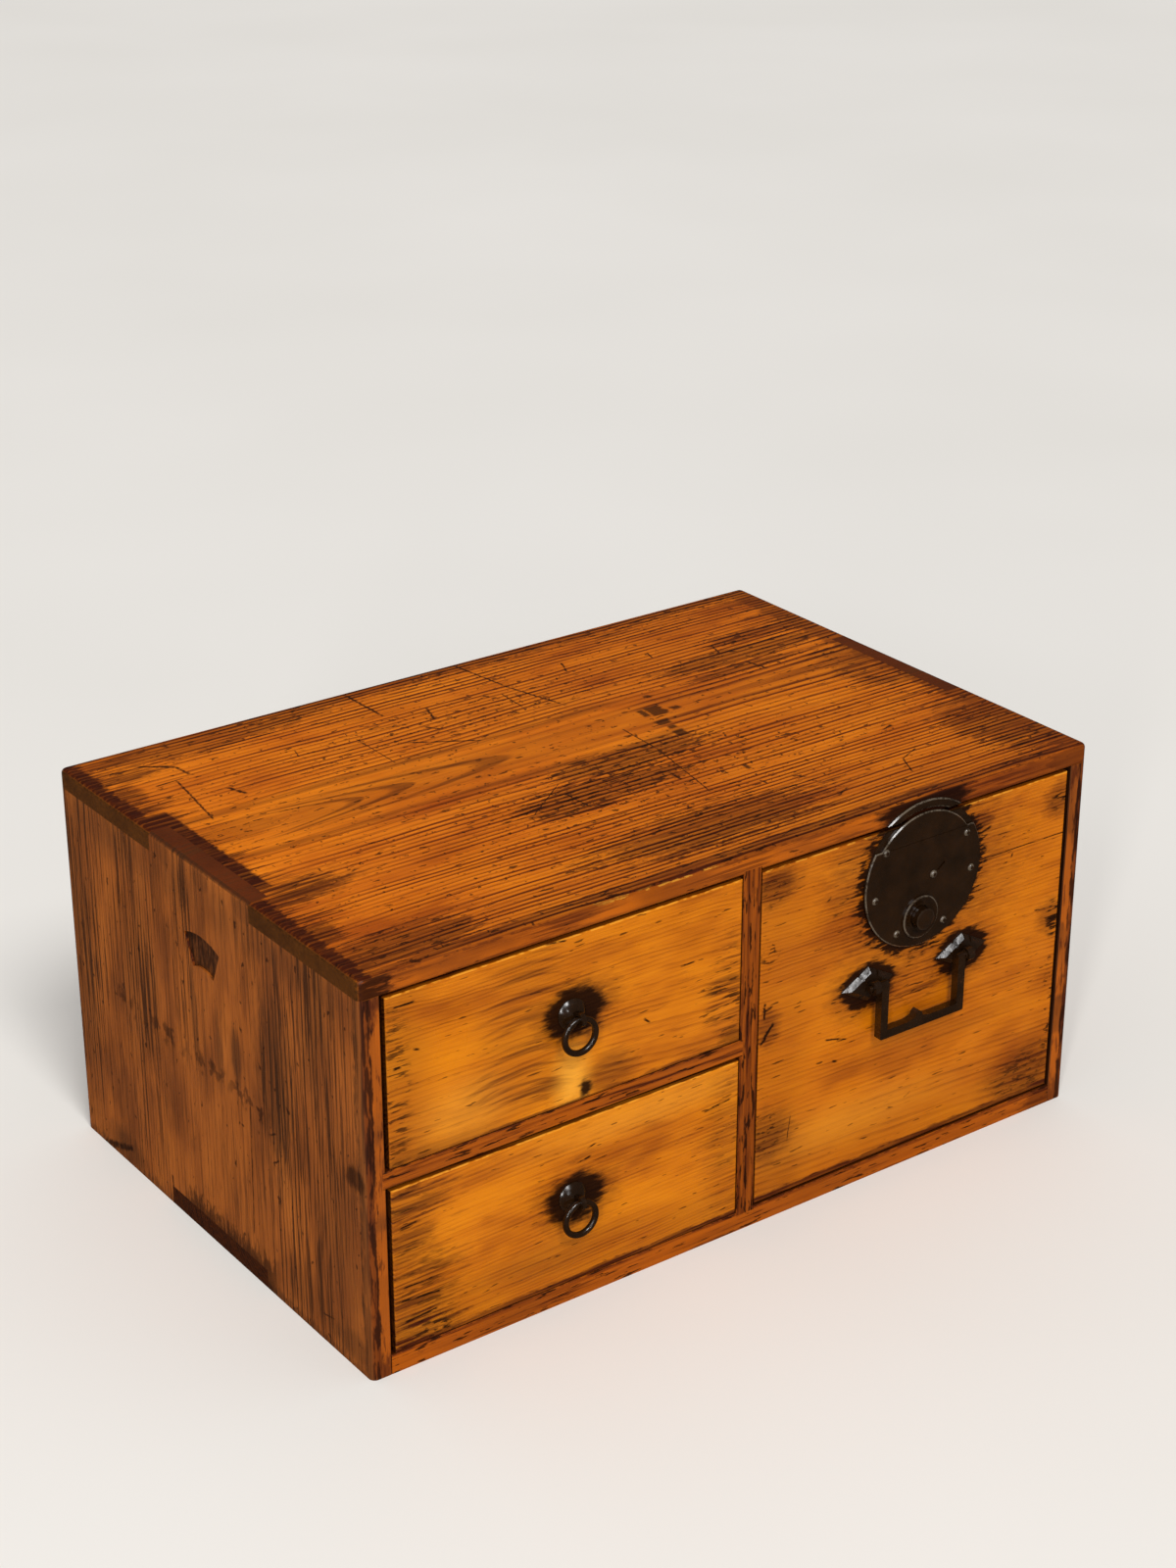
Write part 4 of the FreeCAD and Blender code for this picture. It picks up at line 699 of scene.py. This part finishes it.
def mark_lower_front(wood):
    """Smoke, soot and pale wood of the lower front: dirty left end, darker towards the left end and foot.
    """
    x, z = wood.x, wood.z
    smoke = wood.spots(LOWER_SMOKE) * (wood.streak.rise(0.38, 0.58) * 0.6 + 0.3)
    smoke = smoke | wood.spot((-125, 32), (45, 9), 0.7, 1.0) * 0.3
    smoke = smoke | wood.band(z, 9, 14, 0.9, 1.0) * 0.8
    # Darker towards the left end and towards the foot, broad gradients.
    smoke = smoke + x.rise(-176, -204, 0.0, 0.2) + z.rise(42, 22, 0.0, 0.32)
    soot = wood.flecks(wood.dash, LOWER_DASHES) | wood.flecks(wood.grit, LOWER_GRIT)
    soot = soot | wood.scratches(LOWER_SCRATCHES)
    return smoke, soot, wood.spot((-60, 92), (60, 8), 0.9, 0.5) * 0.25


def mark_big_front(wood):
    """Smoke, soot and pale wood of the big front: dark corners, and a haze round the lock."""
    x, z = wood.x, wood.z
    smoke = wood.spots(BIG_SMOKE) | wood.band(z, 11, 15.5, 0.9, 1.0) * 0.8
    # Darker towards the left end and towards the foot, broad gradients.
    smoke = smoke + x.rise(48, 24, 0.0, 0.22) + z.rise(64, 22, 0.0, 0.26)
    smoke = smoke | wood.spot((LOCK_X, 108), (22, 14), 0.5, 1.0) * wood.streak.rise(0.45, 0.6) * 0.7
    soot = wood.flecks(wood.grit, BIG_GRIT) | wood.flecks(wood.dash, BIG_DASHES)
    soot = soot | wood.scratches(BIG_SCRATCHES)
    return smoke, soot, wood.spot((60, 40), (60, 12), 0.9, 0.5) * 0.2


def front_wood(name, pith_z, spacing, halos, mark, light=AMBER, deep=AMBER_DEEP, wave=5.0):
    """A drawer front. halos are the centres, radii and softness of the soot round its iron;
    mark makes the smoke, soot and pale wood that only this front has."""
    wood = Wood(name, "x", "z", "y", "x", "z")
    below = wood.y - (FRONT - 60) + wood.x * 0.05
    grain = wood.rings(wood.z - pith_z + wood.wander(wave), below, spacing)
    grain = grain * wood.blot.rise(0.38, 0.60, 0.45, 1.05)
    smoke, soot, pale = mark(wood)
    sooty = union(wood.spot(centre, radii, soft, 0.6) for centre, radii, soft in halos)
    for centre, radii, _ in halos:
        wider = (radii[0] * 1.35, radii[1] * 1.25)
        smoke = smoke | wood.spot(centre, wider, 0.5, 0.9) * 0.8
    # Painted shade: every face of the front but its front face is painted dark brown, and nearly black
    # unless it faces up, for the shade in the gaps round the drawer.
    face = wood.normal[1].rise(-0.35, -0.75)
    upper = wood.normal[2].rise(0.1, 0.4)
    ticks = wood.noise(wood.x * 0.08, wood.z * 0.5, 2.0, 2.0).rise(0.67, 0.71)
    soot = (soot | ticks * 0.75) * face | (1 - face) * (1 - upper) * 0.8 | sooty
    smoke = smoke | (1 - face) | wood.blot.rise(0.46, 0.72) * 0.42 | wood.dash.rise(0.58, 0.74) * 0.4
    # Painted highlight and wear: the rounded edges that face up are painted pale and cleared of smoke, a
    # worn edge lit from above.
    worn = wood.arris(0.97) * upper * wood.grit.rise(0.60, 0.46)
    smoke = smoke * (1 - worn * 0.85)
    return wood.lacquer(grain, light, deep, smoke, soot, contrast=0.34, pale=pale | worn * 0.5)


# ---------------------------------------------------------------- bare wood

PLANED = linear(196, 152, 96)
PLANED_DEEP = linear(160, 116, 66)
PLANED_GRAIN = linear(112, 74, 36)
AGED = linear(140, 92, 50)
AGED_DEEP = linear(108, 66, 34)
DUST = linear(84, 56, 30)
PEG = linear(150, 104, 56)
PEG_DEEP = linear(96, 62, 30)


def plain_wood(name, along, across, depth, light=PLANED, deep=PLANED_DEEP):
    """Bare planed softwood of the drawer boxes and the back, aged but never lacquered."""
    wood = Wood(name, along, across, depth, along, across)
    grain = wood.rings(wood.across - 30 + wood.wander(4), wood.depth + 70, 3.0)
    tone = (wood.blot * 1.5 + wood.fibre * 0.7 - 0.6).clamped()
    colour = wood.blend(light, deep, tone)
    colour = wood.blend(colour, PLANED_GRAIN, (grain * 0.6).clamped())
    dirt = wood.streak.rise(0.62, 0.8) * 0.4 | wood.arris() * 0.35
    colour = wood.blend(colour, DUST, dirt)
    height = grain * -0.08 + wood.fibre * 0.10
    return wood.finish(colour, wood.fibre * 0.2 + 0.58, height, specular=0.15)


def peg_wood():
    """End grain of the round pegs."""
    wood = Wood("peg_wood", "y", "x", "z", "x", "z")
    rings = (wood.grit * 6).fraction()
    colour = wood.blend(PEG, PEG_DEEP, rings)
    return wood.finish(colour, 0.6, wood.fibre * 0.05, specular=0.15)


# ---------------------------------------------------------------- iron

IRON = linear(22, 11, 3)
IRON_BROWN = linear(37, 20, 6)
IRON_RUST = linear(90, 54, 26)
IRON_RIM_GLINT = linear(116, 104, 88)


def iron(name, roughness, hammer, rust, rim_glint=0.0):
    """Old lacquered iron: nearly black, with brown showing through and uneven gloss.
    hammer is the depth of the hammer marks in millimetres, rust is the strength of the rusty
    bloom, and rim_glint is how strongly the edges round a flat front are painted pale metal,
    a painted highlight that looks like worn-through lacquer."""
    graph = Graph(name)
    cloud = graph.even_noise(0.09, 4.0, 0.6)
    dents = graph.even_noise(0.28)
    grain = graph.even_noise(0.9, 3.0, 0.55)
    colour = graph.blend(IRON, IRON_BROWN, (cloud * 2.2 - 0.6).clamped())
    bloom = (grain + cloud - 1.0).rise(0.12, 0.36) * rust
    colour = graph.blend(colour, IRON_RUST, bloom)
    # Painted highlight: pale metal on the edges round a flat front, which stands in for a rim highlight
    # and reads as lacquer worn off the edges.
    if rim_glint:
        facing = graph.normal[1].absolute()
        edge = facing.rise(0.93, 0.82) * facing.rise(0.2, 0.5)
        edge = edge * (grain + cloud).rise(0.8, 1.1, 0.15, 1.0)
        colour = graph.blend(colour, IRON_RIM_GLINT, edge * rim_glint)
    gloss = dents.rise(0.44, 0.60) * 0.10 + grain * 0.06 + (roughness - 0.03)
    height = grain * 0.008 + dents * hammer
    return graph.finish(colour, gloss, height, specular=0.5)


# ---------------------------------------------------------------- materials onto the nodes

RING_DRAWERS = ("upper_drawer", "lower_drawer")
DRAWERS = (*RING_DRAWERS, "big_drawer")


def paint(material, *names):
    """Give the CAD nodes of these names one material."""
    for name in names:
        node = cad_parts[name]
        node.data.materials.clear()
        node.data.materials.append(material)


def paint_case():
    paint(top_wood(), "top_board")
    paint(side_wood("left_side_wood", -1), "left_side")
    paint(side_wood("right_side_wood", 1), "right_side")
    dirty_end = (RIGHT - 29, RIGHT + PAST)
    paint(case_wood("bottom_wood", "x", "z", "y", dark=0.25, dirty=dirty_end), "bottom_board")
    paint(case_wood("divider_wood", "z", "x", "y", dark=1.15), "divider")
    paint(case_wood("rail_wood", "x", "z", "y", dark=0.45), "shelf_rail")
    paint(plain_wood("back_wood", "x", "z", "y", AGED, AGED_DEEP), "back_board")


def paint_fronts():
    ring_halo = ((17.5, 13.5), 0.2)
    seat_halo = ((18.5, 13), 0.12)
    lock_halo = ((43, 42), 0.06)
    upper_halos = [((RING_X, 160), *ring_halo)]
    lower_halos = [((RING_X, 58), *ring_halo)]
    big_halos = [((LOCK_X, 169), *lock_halo), ((77, 116), *seat_halo), ((141.5, 116), *seat_halo)]
    upper = front_wood("upper_front_wood", 75, 2.6, upper_halos, mark_upper_front, wave=8.0)
    lower = front_wood("lower_front_wood", 150, 2.4, lower_halos, mark_lower_front)
    big = front_wood("big_front_wood", -20, 2.9, big_halos, mark_big_front, AMBER_WORN, AMBER_WORN_DEEP)
    paint(upper, "upper_drawer_front")
    paint(lower, "lower_drawer_front")
    paint(big, "big_drawer_front")


def paint_bare_wood():
    side_plank = plain_wood("drawer_side_wood", "y", "z", "x")
    flat_plank = plain_wood("drawer_bottom_wood", "y", "x", "z")
    back_plank = plain_wood("drawer_back_wood", "x", "z", "y")
    pegs = peg_wood()
    paint(flat_plank, "shelf_board")
    paint(pegs, "back_pegs")
    for drawer in DRAWERS:
        paint(side_plank, drawer + "_left_side", drawer + "_right_side")
        paint(back_plank, drawer + "_back")
        paint(flat_plank, drawer + "_bottom")
        paint(pegs, drawer + "_pegs")


def paint_iron():
    flat = iron("flat_iron", roughness=0.14, hammer=0.015, rust=0.04, rim_glint=0.55)
    paint(flat, "lock_plate", "strike_plate", "lock_button", "key_post", "lock_nails")
    forged = iron("forged_iron", roughness=0.17, hammer=0.06, rust=0.3)
    paint(forged, "bail_handle", "lock_bolt", "lock_box", "lock_box_nails", "lock_spring")
    for drawer in RING_DRAWERS:
        paint(forged, drawer + "_ring_seat", drawer + "_ring_cotter", drawer + "_pull_ring")
    worn = iron("worn_iron", roughness=0.26, hammer=0.34, rust=0.2)
    for side in ("left", "right"):
        paint(worn, "bail_" + side + "_seat", "bail_" + side + "_cotter")


paint_case()
paint_fronts()
paint_bare_wood()
paint_iron()


# ---------------------------------------------------------------- the lock's springs

def make_springs():
    """The lock's two bent strips again, as an object with a mesh of its own on the big drawer's body."""
    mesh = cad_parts["lock_spring"].data.copy()
    strips = bpy.data.objects.new("lock_spring_strips", mesh)
    bpy.context.scene.collection.objects.link(strips)
    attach(strips, "big_drawer")
    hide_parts("lock_spring")
    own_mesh(strips)


make_springs()


# ---------------------------------------------------------------- floor, light and camera

FLOOR_LIGHT = linear(236, 232, 226)
FLOOR_DEEP = linear(228, 224, 217)
FLOOR_MIRRORED = linear(70, 64, 58)
BACKDROP = linear(223, 220, 214)
ROOM_LIGHT = (0.97, 0.98, 1.0, 1.0)


def make_floor():
    """Plain pale floor, matt, and dim where the lacquer or the iron mirrors it."""
    mesh = bpy.data.meshes.new("floor")
    reach = 8.0
    corners = [(-reach, -reach, 0), (reach, -reach, 0), (reach, reach, 0), (-reach, reach, 0)]
    mesh.from_pydata(corners, [], [(0, 1, 2, 3)])
    floor = bpy.data.objects.new("floor", mesh)
    bpy.context.scene.collection.objects.link(floor)
    graph = Graph("floor_paint")
    cloud = graph.noise(graph.x * 0.002, graph.y * 0.002, 0.0)
    mirrored = Field(graph, graph.new("ShaderNodeLightPath").outputs["Is Glossy Ray"])
    colour = graph.blend(graph.blend(FLOOR_LIGHT, FLOOR_DEEP, cloud), FLOOR_MIRRORED, mirrored)
    mesh.materials.append(graph.finish(colour, 1.0, cloud * 0.2, specular=0.0))


def hang(lamp, aim):
    """Put a lamp into the scene so that it shines from the direction aim."""
    holder = bpy.data.objects.new(lamp.name, lamp)
    bpy.context.scene.collection.objects.link(holder)
    holder.rotation_euler = aim.to_track_quat("Z", "Y").to_euler()
    return holder


def make_sun(direction, strength, spread):
    """Broad soft sun; spread is its width in degrees."""
    lamp = bpy.data.lights.new("sun", "SUN")
    lamp.energy = strength
    lamp.angle = math.radians(spread)
    hang(lamp, Vector(direction))


def make_strip(direction, width, height, power):
    """Upright soft strip light aimed at the chest, for the bright rims of the iron."""
    chest_middle = Vector((0, 0, 0.1))
    distance = 3.2
    lamp = bpy.data.lights.new("strip", "AREA")
    lamp.shape = "RECTANGLE"
    lamp.size = width
    lamp.size_y = height
    lamp.energy = power
    aim = Vector(direction).normalized()
    hang(lamp, aim).location = chest_middle + aim * distance


def make_world():
    """Even pale light all round, a dim room where lacquer and iron mirror it, and a plain
    backdrop where the camera sees it."""
    room_level, mirrored_level = 0.50, 0.06
    world = bpy.data.worlds.new("studio")
    world.use_nodes = True
    tree = world.node_tree
    path = tree.nodes.new("ShaderNodeLightPath")
    level = tree.nodes.new("ShaderNodeMapRange")
    tree.links.new(path.outputs["Is Glossy Ray"], level.inputs["Value"])
    level.inputs["To Min"].default_value = room_level
    level.inputs["To Max"].default_value = mirrored_level
    light = tree.nodes["Background"]
    light.inputs["Color"].default_value = ROOM_LIGHT
    tree.links.new(level.outputs[0], light.inputs["Strength"])
    backdrop = tree.nodes.new("ShaderNodeBackground")
    backdrop.inputs["Color"].default_value = BACKDROP
    seen = tree.nodes.new("ShaderNodeMixShader")
    tree.links.new(path.outputs["Is Camera Ray"], seen.inputs["Fac"])
    tree.links.new(light.outputs[0], seen.inputs[1])
    tree.links.new(backdrop.outputs[0], seen.inputs[2])
    tree.links.new(seen.outputs[0], tree.nodes["World Output"].inputs["Surface"])
    bpy.context.scene.world = world


def make_camera():
    """The photograph's viewpoint: front left, 27 degrees up, with a 66 mm lens."""
    place = (-0.80103, -1.10812, 0.80983)
    forward = Vector((0.537264, 0.737452, -0.409283))
    right = Vector((0.808014, -0.589163, -0.000886))
    up = right.cross(forward)
    data = bpy.data.cameras.new("camera")
    data.sensor_width = 36
    data.lens = 65.94
    camera = bpy.data.objects.new("camera", data)
    turn = Matrix((right, up, -forward)).transposed().to_4x4()
    camera.matrix_world = Matrix.Translation(place) @ turn
    bpy.context.scene.collection.objects.link(camera)
    bpy.context.scene.camera = camera


make_floor()
make_sun((-0.16, -0.66, 0.74), strength=1.8, spread=20)
make_strip((-0.66, -0.62, 0.34), width=0.22, height=2.0, power=38)
make_strip((-0.25, -0.94, 0.24), width=0.14, height=0.6, power=6)
make_world()
make_camera()
bpy.context.scene.view_settings.view_transform = "Standard"
